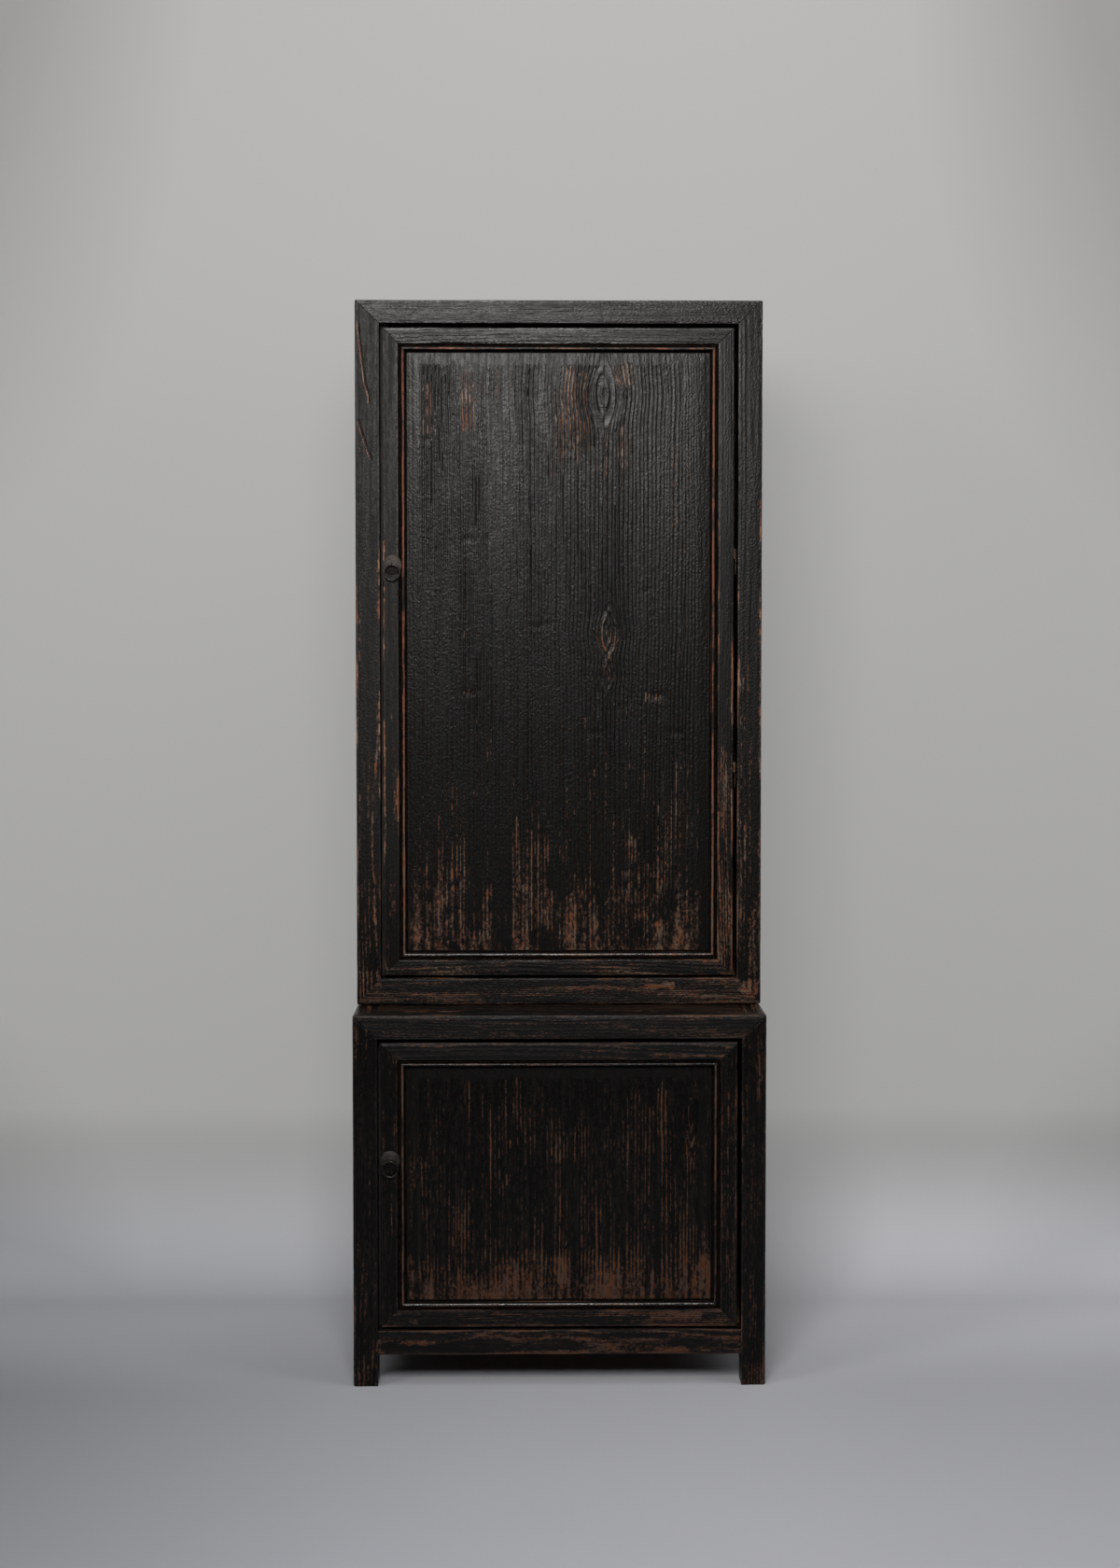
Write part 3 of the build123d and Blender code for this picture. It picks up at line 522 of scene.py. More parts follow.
class Case:
    """The frame of a case, read from its CAD nodes. A sign says on which side of it something is:
    left or right along X, front or back along Y, bottom or top along Z."""

    NAMES = {(X, -1): "left", (X, 1): "right", (Y, -1): "front", (Y, 1): "back"}

    def __init__(self, name, first_seed):
        self.name = name
        self.seed = first_seed
        low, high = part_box(f"{name}_post_front_left")
        rail_low, rail_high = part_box(f"{name}_bottom_rail_front")
        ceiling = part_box(f"{name}_top_rail_front")[0].z
        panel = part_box(f"{name}_side_panel_left")[1].x
        back_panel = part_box(f"{name}_back_panel")[0].y
        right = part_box(f"{name}_post_front_right")[1].x
        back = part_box(f"{name}_post_back_left")[1].y
        self.post = high.x - low.x
        self.edge = {(X, -1): low.x, (Y, -1): low.y, (Z, -1): low.z}
        self.edge |= {(X, 1): right, (Y, 1): back, (Z, 1): high.z}
        self.rail_span = {-1: (rail_low.z, rail_high.z), 1: (ceiling, high.z)}
        self.cavity = (
            np.array([panel, low.y + DOOR_ROOM, rail_high.z]),
            np.array([-panel, back_panel, ceiling]),
        )

    def mitred(self, level):
        return level > 0 or self.rail_span[-1][0] <= self.edge[Z, -1] + 1 * MM

    def kind(self, places, facing):
        """Faces that look into the case are bare wood."""
        probe = places + facing * 3 * MM
        low, high = self.cavity
        return np.where(np.all((probe > low) & (probe < high), axis=-1), RAW, PAINTED)

    def spacing(self, axis, section):
        """Fine points on the front, coarser ones on the other outsides, few on the inside."""
        across = others(axis)
        centre = [(self.edge[i, -1] + self.edge[i, 1]) / 2 for i in (X, Y, Z)]
        towards = np.array([centre[i] - section[k] for k, i in enumerate(across)])
        if axis == Z:
            towards = np.sign(towards)
        inside = 0.3 * np.abs(towards).sum() / 2

        def spacing_of(normal):
            if Y in across and normal[across.index(Y)] < -0.5 and section[across.index(Y)] < 0:
                return FRONT_SPACING
            return INSIDE_SPACING if normal @ towards > inside else OUTSIDE_SPACING

        return spacing_of

    def cuts(self, axis, side, end, level):
        """Planes that end a member at a corner of the case: of a three-way mitre or a square joint."""
        point = np.array([self.edge[X, side], self.edge[Y, end], self.edge[Z, level]])
        if not self.mitred(level):
            inward = np.array([-side, -end, 1.0])
            return [(point + inward * (self.post, self.post, 0), inward * np.eye(3)[axis])]
        low, high = self.rail_span[level]
        height = high - low
        post_from_cross = np.array([side * height, 0, -level * self.post])
        post_from_side = np.array([0, end * height, -level * self.post])
        cross_from_side = np.array([-side, end, 0.0])
        normals = {
            X: (-post_from_cross, cross_from_side),
            Y: (-post_from_side, -cross_from_side),
            Z: (post_from_cross, post_from_side),
        }
        return [(point, normal) for normal in normals[axis]]

    def post_edges(self, axis, sign):
        outer = self.edge[axis, sign]
        return sorted((outer, outer - sign * self.post))

    def timber(self, name, axis, b, c, arris, radius, planes, easing=JOINT_EASING):
        """A post or a rail between two edges either way; arris is the case's own corner of it."""
        self.seed += SEED_STEP
        section = [
            (b[i > 0], c[k > 0], radius if (i, k) == arris else EASED_ARRIS)
            for i, k in ((-1, -1), (1, -1), (1, 1), (-1, 1))
        ]
        spacing_of = self.spacing(axis, (sum(b) / 2, sum(c) / 2))
        node = f"{self.name}_{name}"
        member(node, axis, section, cut_by(planes, axis), self.seed, spacing_of, self.kind, easing)

    def posts(self):
        easing = JOINT_EASING if self.mitred(-1) else FOOT_EASING
        for end in (-1, 1):
            for side in (-1, 1):
                name = f"post_{self.NAMES[Y, end]}_{self.NAMES[X, side]}"
                planes = self.cuts(Z, side, end, 1) + self.cuts(Z, side, end, -1)
                b, c = self.post_edges(X, side), self.post_edges(Y, end)
                self.timber(name, Z, b, c, (side, end), CASE_ARRIS, planes, easing)

    def rails(self, axis, beside, square_arris):
        """The rails along one axis; those that meet the posts squarely have a finer arris."""
        for level, level_name in ((1, "top"), (-1, "bottom")):
            for sign in (-1, 1):
                planes = []
                for far in (-1, 1):
                    side, end = (far, sign) if axis == X else (sign, far)
                    planes += self.cuts(axis, side, end, level)
                name = f"{level_name}_rail_{self.NAMES[beside, sign]}"
                radius = CASE_ARRIS if self.mitred(level) else square_arris
                b, c = self.post_edges(beside, sign), self.rail_span[level]
                self.timber(name, axis, b, c, (sign, level), radius, planes)

    def sheets(self):
        """Side panels, back panel, top boards and floor boards, each from a corner of its opening."""
        left, right = self.edge[X, -1] + self.post, self.edge[X, 1] - self.post
        front, back = self.edge[Y, -1] + self.post, self.edge[Y, 1] - self.post
        floor, ceiling = self.rail_span[-1][1], self.rail_span[1][0]
        room = np.array([right - left, back - front, ceiling - floor])
        for name, corner, across, along, planks, face_kind in (
            ("side_panel_left", (0, back, floor), -BACKWARD, UP, 2, PAINTED),
            ("side_panel_right", (0, front, floor), BACKWARD, UP, 2, PAINTED),
            ("back_panel", (right, 0, floor), -RIGHT, UP, 4, PAINTED),
            ("top_boards", (right, front, 0), BACKWARD, -RIGHT, 3, PAINTED),
            ("floor_boards", (right, front, 0), BACKWARD, -RIGHT, 3, RAW),
        ):
            self.seed += SEED_STEP
            low, high = (np.array(place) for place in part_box(f"{self.name}_{name}"))
            out = np.cross(across, along)
            face = np.where(out > 0, high, low) * np.abs(out)
            width, length, thick = (np.abs([across, along, out]) * (room, room, high - low)).sum(1)
            place = (np.array(corner) + face, across, along)
            board_sheet(f"{self.name}_{name}", place, width, length, thick, planks, self.seed, face_kind)

    def build(self):
        self.posts()
        self.rails(X, Y, 1.6 * MM)
        self.rails(Y, X, 1.2 * MM)
        self.sheets()


# ---- panels and boards


def lines(length, spacing, ends=0.0, fine=0.0):
    """Grid lines over a length, at a finer spacing within a distance of both ends."""
    if not ends:
        return np.linspace(0, length, math.ceil(length / spacing) + 1)
    near = np.linspace(0, ends, math.ceil(ends / fine) + 1)
    middle = np.linspace(ends, length - ends, math.ceil((length - 2 * ends) / spacing) + 1)
    return np.concatenate([near, middle[1:-1], length - near[::-1]])


def padded(values):
    """Values of a grid with its outermost ones once more all round, as one list."""
    margins = ((1, 1), (1, 1), (0, 0))[: values.ndim]
    return np.pad(values, margins, mode="edge").reshape(-1, *values.shape[2:])


def sheet_piece(node, place, thick, sides, face_kind=PAINTED):
    """A panel or a set of boards, placed by a corner and the directions across and along it.
    Its face and its back are each columns, rows, and the depth and looks where they cross."""
    origin, across, along = place
    out = np.cross(across, along)
    parts = []
    for back, (columns, rows, depth, looks) in enumerate(sides):
        u, v = np.meshgrid(np.pad(columns, 1, mode="edge"), np.pad(rows, 1, mode="edge"))
        deep = np.pad(thick - depth if back else depth, 1, constant_values=thick / 2)
        grid = origin + u[..., None] * across + v[..., None] * along - deep[..., None] * out
        quads = grid_faces(*u.shape)
        looks = {name: padded(values) for name, values in looks.items()}
        # faces duller than the limit are dirt with painted shade
        grime_and_shade = looks["polish"][quads].mean(1) < DIRT_AND_SHADE_POLISH
        kind = np.where(grime_and_shade, DIRT_AND_SHADE, RAW if back else face_kind)
        parts.append((grid.reshape(-1, 3), [quads[:, ::-1] if back else quads], [kind], looks))
    timber_piece(node, parts)


def plank_side(width, length, spacings, planks, seed, wear_level):
    """Boards side by side, each with its own grain, slightly cupped, with a seam between them."""
    columns, rows = lines(width, spacings[0]), lines(length, spacings[1])
    u, v = np.meshgrid(columns, rows)
    number = np.clip(np.floor(u / width * planks), 0, planks - 1)
    within = u - number * width / planks
    breadth = width / planks
    heart = breadth * (0.5 + 0.35 * np.sin(number * 2.4 + seed))
    own = number * 3.3 + 0.5
    drift = 9 * MM * noise(v / 0.45, own, seed) + 1.5 * MM * noise(v / 0.09, own, seed + 1)
    distance = np.hypot(within - heart + drift, 26 * MM) + number * 0.4
    distance = distance + 0.5 * MM * noise(u / 0.012, v / 0.1, seed + 2)
    ridge = crest(distance / RING_WIDTH)
    seam = np.exp(-((np.minimum(within, breadth - within) / (0.9 * MM)) ** 2))
    seam = seam * ((number > 0) | (within > breadth / 2))
    seam = seam * ((number < planks - 1) | (within < breadth / 2))
    planing = 0.35 * MM * (0.5 + 0.5 * layers(u / 0.05, v / 0.2, seed + 3))
    looks = {
        "grain": np.stack([distance, u, v + seed * SEED_SHIFT], -1),
        "wear": wear_level + 0.30 * layers(u / 0.03, v / 0.16, seed + 7) + 0.5 * seam,
        "ridge": ridge,
        "polish": -2.0 * seam,
    }
    return columns, rows, 0.25 * MM * (1 - ridge) + planing + 1.1 * MM * seam, looks


def board_sheet(node, place, width, length, thick, planks, seed, face_kind):
    """Boards let into a frame, placed by the corner of the opening on the face."""
    corner, across, along = place
    origin = corner - (across + along) * GROOVE_REACH
    width, length = width + 2 * GROOVE_REACH, length + 2 * GROOVE_REACH
    face = plank_side(width, length, BOARD_FACE_GRID, planks, seed, 0.4)
    back = plank_side(width, length, BOARD_BACK_GRID, planks, seed + 40, 0.0)
    sheet_piece(node, (origin, across, along), thick, (face, back), face_kind)


# ---- doors


def bend_round_knots(x, z, knots):
    """Places across the grain, as if the knots had not pushed it aside, nearness to the knots,
    and nearness to the lines that meet below the larger ones."""
    near = np.zeros_like(x)
    flame = np.zeros_like(x)
    for knot_x, knot_z, half_width, half_height in knots:
        dx = x - knot_x * MM
        dz = (z - knot_z * MM) / (half_height * MM)
        half = half_width * MM * np.exp(-1.1 * dz * dz)
        inside = np.abs(dx) < half
        round_eye = np.sqrt((dx / (half_width * MM)) ** 2 + (0.8 * dz) ** 2)
        near = np.maximum(near, np.exp(-((dx / (1.7 * half_width * MM)) ** 2) - (dz / 1.3) ** 2))
        outside = np.sqrt(np.maximum(dx * dx - half * half, 0))
        below = ramp(dz, -2.1, -1.6) * (1 - ramp(dz, -0.7, -0.2)) * ramp(half_height, 30, 50)
        flame = np.maximum(flame, np.exp(-((outside / (6 * MM)) ** 2)) * below)
        rings_inside = round_eye * KNOT_RINGS * PANEL_RING_WIDTH
        x = knot_x * MM + np.where(inside, rings_inside, outside) * np.sign(dx)
    return x, near, flame


def marks_wear(x, z, rings, marks, seed):
    """Strongest of the worn marks at each place, with ends that differ from ridge to ridge."""
    wear = np.full_like(x, -1.0)
    for mark_x, mark_z, half_width, half_height, strength in marks:
        half = half_height * MM
        ragged = by_ring(rings, z * 0 + mark_x + 0.5, seed) * 0.45 * half_height * MM
        side = np.abs(x - mark_x * MM) - half_width * MM
        end = np.abs(z + ragged - mark_z * MM) - half
        fall = ramp(side, -1.0 * MM, 3.0 * MM) + ramp(end, -0.25 * half, 3.0 * MM + 0.1 * half)
        wear = np.maximum(wear, 0.6 * strength + 0.16 - 1.2 * fall)
    return wear


def dented(depth, x, z, dents):
    for dent_x, dent_z, half_width, half_height, deep in dents:
        beside = x - dent_x * MM
        above = z - dent_z * MM - 0.12 * beside
        spot = (beside / (half_width * MM)) ** 2 + (above / (half_height * MM)) ** 2
        depth = depth + deep * MM * np.exp(-spot)
    return depth


class Door:
    """A door's frame, beads and panel, read from its CAD nodes."""

    def __init__(self, name, first_seed, marks, knots, dents, wear, bead_wear, gloss):
        self.name = name
        self.seed = first_seed
        self.marks, self.knots, self.dents = marks, knots, dents
        self.wear, self.bead_wear, self.gloss = wear, bead_wear, gloss
        low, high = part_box(f"{name}_door_latch_stile")
        bead_low, bead_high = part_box(f"{name}_door_beads")
        self.face, self.back = low.y, high.y
        self.member = high.x - low.x
        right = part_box(f"{name}_door_pivot_stile")[1].x
        self.edges = {X: (low.x, right), Z: (low.z, high.z)}
        self.flat = bead_low.x - low.x
        self.bead_crest = bead_low.y - self.face
        self.seat = bead_high.y - self.face

    def inside(self, inset):
        """Left, right, bottom and top of the door, moved in."""
        (left, right), (low, high) = self.edges[X], self.edges[Z]
        return left + inset, right - inset, low + inset, high - inset

    def outline(self, arris):
        """Section of a frame member: inset from its outer edge, depth behind the face, radius."""
        thick = self.back - self.face
        sliver = 0.1 * MM
        return [
            (0, 0, arris),
            (self.flat, 0, 0.7 * MM),
            (self.flat, self.seat, 0),
            (self.member, self.seat, 0.5 * MM),
            (self.member, thick, 0.6 * MM),
            (0, thick, 0.8 * MM),
            (0, DOOR_SKIN + sliver, 0),
            (0, DOOR_SKIN - sliver, 0),
        ]

    def reach(self, axis, outer):
        """Ends of a frame member's lines: mitred through the face, square behind."""
        start, end = self.edges[axis]
        place, deep = (0, 1) if axis == Z else (1, 0)

        def ends(section):
            inset = np.abs(section[:, place] - outer)
            skin = section[:, deep] - self.face < DOOR_SKIN
            back_off = np.where(skin, inset, 0 if axis == Z else self.member)
            return start + back_off, end - back_off

        return ends

    def spacing(self, axis):
        front = others(axis).index(Y)
        return lambda normal: FRONT_SPACING if normal[front] < -0.5 else DOOR_BACK_SPACING

    def kind(self, places, facing):
        """The ledge inside the bead is black with dirt and painted shade."""
        ledge = (places[:, Y] > self.face + 3 * MM) & (facing[:, Y] < -0.5)
        return np.where(ledge, DIRT_AND_SHADE, PAINTED)

    def members(self):
        for name, axis, side, arris in (
            ("latch_stile", Z, -1, DOOR_ARRIS),
            ("pivot_stile", Z, 1, PIVOT_ARRIS),
            ("bottom_rail", X, -1, DOOR_ARRIS),
            ("top_rail", X, 1, DOOR_ARRIS),
        ):
            self.seed += SEED_STEP
            edge = self.edges[X if axis == Z else Z][side > 0]
            corners = []
            for inset, deep, radius in self.outline(arris):
                corners.append((edge - side * inset, self.face + deep, radius))
            if axis == X:
                corners = [(deep, place, radius) for place, deep, radius in corners]
            node = f"{self.name}_door_{name}"
            member(node, axis, corners, self.reach(axis, edge), self.seed, self.spacing(axis), self.kind)

    def bead_profile(self):
        """Across a bead strip: inset, depth, height up the bead and wear."""
        turns = [math.pi * step / BEAD_STEPS for step in range(BEAD_STEPS + 1)]
        profile = [(0, self.seat), (0, QUIRK_DEPTH), (QUIRK * 0.8, QUIRK_DEPTH)]
        for turn in turns:
            inset = QUIRK + BEAD / 2 * (1 - math.cos(turn))
            profile.append((inset, QUIRK_DEPTH - (QUIRK_DEPTH - self.bead_crest) * math.sin(turn)))
        profile.append((QUIRK + BEAD, self.seat))
        inset, deep = np.array(profile).T
        shares = np.arange(BEAD_STEPS + 1) / BEAD_STEPS
        worn = ramp(shares, 0.1, 0.4) - 1.2 * ramp(shares, 0.6, 0.85)
        worn = np.concatenate([[-0.6] * 3, worn, [-0.6]])
        return inset, deep, np.array([0, 0, 0, *map(math.sin, turns), 0]), worn

    def bead_strip(self, start, run, inward, length, seed):
        """Points of a strip that is mitred at its ends, and their looks."""
        inset, deep, height, worn = self.bead_profile()
        share = np.linspace(0, 1, math.ceil(length / BEAD_SPACING) + 1)[:, None]
        a = inset + share * (length - 2 * inset)
        chip = np.maximum(0, layers(a / 0.012, inset * 90 + 0.5, seed) - 0.25) * 1.4 * MM
        wave = 0.35 * MM * wander(a / 0.09, seed + 4)
        moved = inset + 0.25 * MM * height * wander(a / 0.05, seed + 5)
        across = start[0] + run[0] * a + inward[0] * moved
        upward = start[1] + run[1] * a + inward[1] * moved
        behind = self.face + (deep + height * (chip + np.abs(wave)))
        upright = 0.22 if run[1] else 0.0
        patchy = 0.45 * layers(a / 0.028, inset * 50, seed + 6)
        looks = {
            "grain": np.stack([inset + 0 * a, deep + 0 * a, a + seed * SEED_SHIFT], -1),
            "wear": 0.72 * worn - 0.33 + self.bead_wear + upright + 200 * chip + patchy,
            "ridge": 0.5 + 0.5 * noise(inset / 0.0012 + a * 0, a / 0.06, seed + 7),
            "polish": (6.0 if run[0] else 1.5) * height - 4.0 + 0 * a,
        }
        return np.stack([across, behind, upward], -1), looks

    def beads(self):
        """Four strips as one piece, with dirt and painted shade in the quirk; only the bottom one is
        shiny.
        """
        left, right, low, high = self.inside(self.flat)
        strips = (
            ((left, low), (0, 1), (1, 0), high - low),
            ((right, high), (0, -1), (-1, 0), high - low),
            ((right, low), (-1, 0), (0, 1), right - left),
            ((left, high), (1, 0), (0, -1), right - left),
        )
        parts = []
        for number, strip in enumerate(strips):
            points, looks = self.bead_strip(*strip, self.seed + 100 + number * 7)
            quads = grid_faces(*points.shape[:2])
            # the quirk beside each bead is dirt with painted shade
            in_quirk = np.arange(len(quads)) % (points.shape[1] - 1) < 3
            kind = np.where(in_quirk, 1, 0 if number == 2 else 2)
            parts.append((points.reshape(-1, 3), [quads], [kind], looks))
        materials = [BEAD_LACQUER, SHADE_AND_GRIME, DULL_BEAD_LACQUER]
        timber_piece(f"{self.name}_door_beads", parts, materials=materials)

    def panel(self):
        left, right, low, high = self.inside(self.member)
        height = high - low
        whole_width, whole_height = right - left + 2 * GROOVE_REACH, height + 2 * GROOVE_REACH
        columns = lines(whole_width, 1.5 * MM)
        rows = lines(whole_height, 4.6 * MM, 32 * MM, 1.6 * MM)
        u, v = np.meshgrid(columns, rows)
        x, z = left - GROOVE_REACH + u, low - GROOVE_REACH + v
        seed = self.seed + 500
        bent, near, flame = bend_round_knots(x, z, self.knots)
        bent = bent + 3.0 * MM * noise(x / 0.08, z / 0.45, seed)
        bent = bent + 0.8 * MM * noise(x / 0.02, z / 0.11, seed + 1)
        rings = bent / PANEL_RING_WIDTH + 0.9 * noise(bent / 0.05, z / 0.9, seed + 2)
        rings = rings + 0.35 * noise(bent / 0.015, z / 0.8, seed + 9)
        ridge = crest(rings) * (0.72 + 0.28 * by_ring(rings, z / 0.22, seed + 10))
        to_side = np.minimum(u, whole_width - u) - GROOVE_REACH
        to_end = np.minimum(v, whole_height - v) - GROOVE_REACH
        to_edge = np.minimum(to_side, to_end)
        ragged = 6.0 * MM * noise(np.floor(rings) * 0.63 + 0.5, z * 0 + 0.5, seed + 3)
        field = ramp(np.minimum(to_side, to_end + ragged), FIELD_EDGE - 4.0 * MM, FIELD_EDGE + 3.0 * MM)
        marked = marks_wear(x, z, rings, self.marks, seed + 30)
        strength = np.clip(0.65 + 0.5 * noise(x / 0.05, z / 0.3, seed + 4), 0.1, 1.1)
        strength = strength * (1 + near + 0.7 * ramp(marked, 0.2, 0.7))
        depth = DOOR_PANEL_SET - DOOR_PANEL_FIELD * np.clip(to_edge / DOOR_PANEL_BEVEL, 0, 1)
        depth = depth + PANEL_RIDGE_DEPTH * (0.55 - ridge) * strength * (0.2 + 0.8 * field)
        depth = depth + 0.15 * MM * layers(x / 0.06, z / 0.18, seed + 5) * field
        depth = depth + 0.2 * MM * np.maximum(0, layers(x / 0.006, z / 0.02, seed + 8))
        depth = dented(depth, x, z, self.dents)
        share = (z - low) / height
        # painted shade with dirt along the panel's edges next to the beads: less wear there, and duller
        # lacquer that takes the dark finish
        edge_dirt_and_shade = 1 - ramp(to_edge, 1.0 * MM, 4.0 * MM)
        shown = ridge * (0.25 + 0.75 * field) + 0.2 * (1 - field)
        foot = 1 - ramp(share, 0.08, 0.22)
        looks = {
            "grain": np.stack([bent, x * 0 + seed, z], -1),
            "wear": self.panel_wear(x, z, share, rings, field, marked, seed) + 0.35 * flame - 1.5 * edge_dirt_and_shade,
            "ridge": shown + 0.65 * foot * (0.35 - shown),
            "polish": self.gloss * field - 4.6 * edge_dirt_and_shade,
        }
        back = plank_side(whole_width, whole_height, PANEL_BACK_GRID, 3, seed + 60, 0.0)
        place = (np.array([left - GROOVE_REACH, self.face, low - GROOVE_REACH]), RIGHT, UP)
        thick = DOOR_PANEL_SET + DOOR_PANEL_THICK
        sheet_piece(f"{self.name}_door_panel", place, thick, ((columns, rows, depth, looks), back))

    def panel_wear(self, x, z, share, rings, field, marked, seed):
        """Wear of the panel: by its share of the height, in streaks and patches, and at the marks."""
        ragged = 0.05 * layers(x / 0.022, z / 0.05, seed + 14)
        streaks = noise(rings * 0.9, z / 0.13, seed + 12)
        patches = layers(x / 0.035, z / 0.05, seed + 13)
        base = np.interp(share + ragged * (field > 0.5), *self.wear) + 0.22 * streaks + 0.24 * patches
        return np.maximum(base, marked + 0.15 * patches)

    def build(self):
        self.members()
        self.beads()
        self.panel()


# ---- ring pulls


def revolve(profile, segments, wobble, seed):
    """Points and quads of a profile (radius, height) turned about the third axis."""
    turn = np.linspace(0, 2 * math.pi, segments, endpoint=False)
    radius, height = np.array(profile).T[..., None]
    uneven = 1 + wobble * noise(np.cos(turn) * 1.7 + 5, np.sin(turn) * 1.7 + 5, seed)[None, :]
    points = [radius * uneven * np.cos(turn), radius * uneven * np.sin(turn), height + 0 * turn]
    return np.stack(points, -1).reshape(-1, 3), grid_faces(len(profile), segments, closed=True)


def torus(radius, wire, segments, sides, wobble, seed):
    """A ring in the first two axes, with uneven wire."""
    turn = np.linspace(0, 2 * math.pi, segments, endpoint=False)[:, None]
    around = np.linspace(0, 2 * math.pi, sides, endpoint=False)[None, :]
    uneven = noise(np.cos(turn) * 2 + 9, np.sin(turn) * 2 + around, seed)
    thick = wire * (1 - wobble * (0.5 + 0.5 * uneven))
    reach = radius + thick * np.cos(around)
    points = np.stack([reach * np.cos(turn), reach * np.sin(turn), thick * np.sin(around)], -1)
    quads = grid_faces(segments + 1, sides, closed=True) % (segments * sides)
    return points.reshape(-1, 3), quads[:, ::-1]


def pull_box(name):
    """A node's box, and its middle, as x across, y up the door and z out of it."""
    low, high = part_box(name)
    low, high = np.array([low.x, low.z, -high.y]), np.array([high.x, high.z, -low.y])
    return low, high, (low + high) / 2


def iron_piece(node, points, faces, iron, soot=None):
    """A piece of a pull, with points as in pull_box."""
    placed = np.stack([points[:, 0], -points[:, 2], points[:, 1]], -1)
    soot = np.zeros(len(points)) if soot is None else soot
    kinds = [np.zeros(len(group), int) for group in faces]
    piece = mesh_piece(node + "_iron", placed, faces, kinds, [iron], smooth_angle=50, soot=soot)
    stand_for(piece, node)


class Pull:
    """A ring pull: domed plate with turned lines, split pin and ring, read from its CAD nodes."""

    def __init__(self, name, seed):
        self.name = name
        self.seed = seed
        low, high, middle = pull_box(f"{name}_pull_plate")
        self.radius = (high[0] - low[0]) / 2
        self.rise = high[2] - low[2]
        self.origin = np.array([middle[0], middle[1], low[2]])

    def dome(self, r):
        return PLATE_RIM + (self.rise - PLATE_RIM) * (1 - (r / self.radius) ** 2)

    def plate(self):
        profile = [(self.radius, 0.0), (self.radius, PLATE_RIM * 0.6)]
        profile.append((self.radius - 0.35 * MM, PLATE_RIM))
        for r in np.arange(self.radius - 0.8 * MM, 1.6 * MM, -0.4 * MM):
            groove = sum(math.exp(-(((r - line) / LINE_WIDTH) ** 2)) for line in PLATE_LINES)
            profile.append((r, self.dome(r) - LINE_DEPTH * groove))
        points, quads = revolve(profile, 96, 0.012, self.seed)
        hammered = 0.12 * MM * layers(points[:, 0] / 0.004, points[:, 1] / 0.004, self.seed + 1)
        points[:, 2] += np.where(points[:, 2] > PLATE_RIM, -np.abs(hammered), 0)
        points = points + self.origin
        low, high, middle = pull_box(f"{self.name}_pull_ring")
        reach = (high[0] - low[0]) / 2
        from_ring = np.hypot(points[:, 0] - middle[0], points[:, 1] - middle[1])
        # painted shadow of the ring, with soot, on the plate within the ring's reach
        soot = 1 - ramp(from_ring, reach - 2.5 * MM, reach + 0.5 * MM)
        iron_piece(f"{self.name}_pull_plate", points, [quads], PLATE_IRON, soot)

    def pin(self):
        """The eye in front, the shank through the door, and the legs clinched behind."""
        low, high, _ = pull_box(f"{self.name}_pull_pin")
        eye_outer = (high[2] - self.origin[2] - self.rise) / 2
        eye, eye_quads = torus(eye_outer - EYE_WIRE, EYE_WIRE, 48, 16, 0.1, self.seed + 2)
        eye = eye[:, [2, 1, 0]] * [1, 1, -1]
        eye[:, 2] += self.rise + eye_outer
        legs_at = low[2] - self.origin[2]
        shank = ((SHANK, self.rise + 1.4 * MM), (SHANK, legs_at))
        shank, shank_quads = revolve(shank, 20, 0, self.seed)
        half = (high[1] - low[1]) / 2
        along = np.linspace(-half, half, 23)[:, None]
        turn = np.linspace(0, 2 * math.pi, 12, endpoint=False)
        wide = LEG_WIRE * (1 - 0.55 * (np.abs(along) / half) ** 3)
        out = legs_at + LEG_WIRE / 2 + wide / 2 * np.sin(turn)
        legs = np.stack([wide * np.cos(turn), along + 0 * turn, out], -1).reshape(-1, 3)
        leg_quads = grid_faces(len(along), len(turn), closed=True)
        points, faces = stacked([(eye, [eye_quads]), (shank, [shank_quads]), (legs, [leg_quads])])
        iron_piece(f"{self.name}_pull_pin", points + self.origin, faces, RING_IRON)

    def ring(self):
        low, high, middle = pull_box(f"{self.name}_pull_ring")
        wire = (high[2] - low[2]) / 2
        ring, quads = torus((high[0] - low[0]) / 2 - wire, wire, 96, 18, 0.12, self.seed + 3)
        iron_piece(f"{self.name}_pull_ring", ring + middle, [quads], RING_IRON)

    def build(self):
        self.plate()
        self.pin()
        self.ring()


# ---- materials


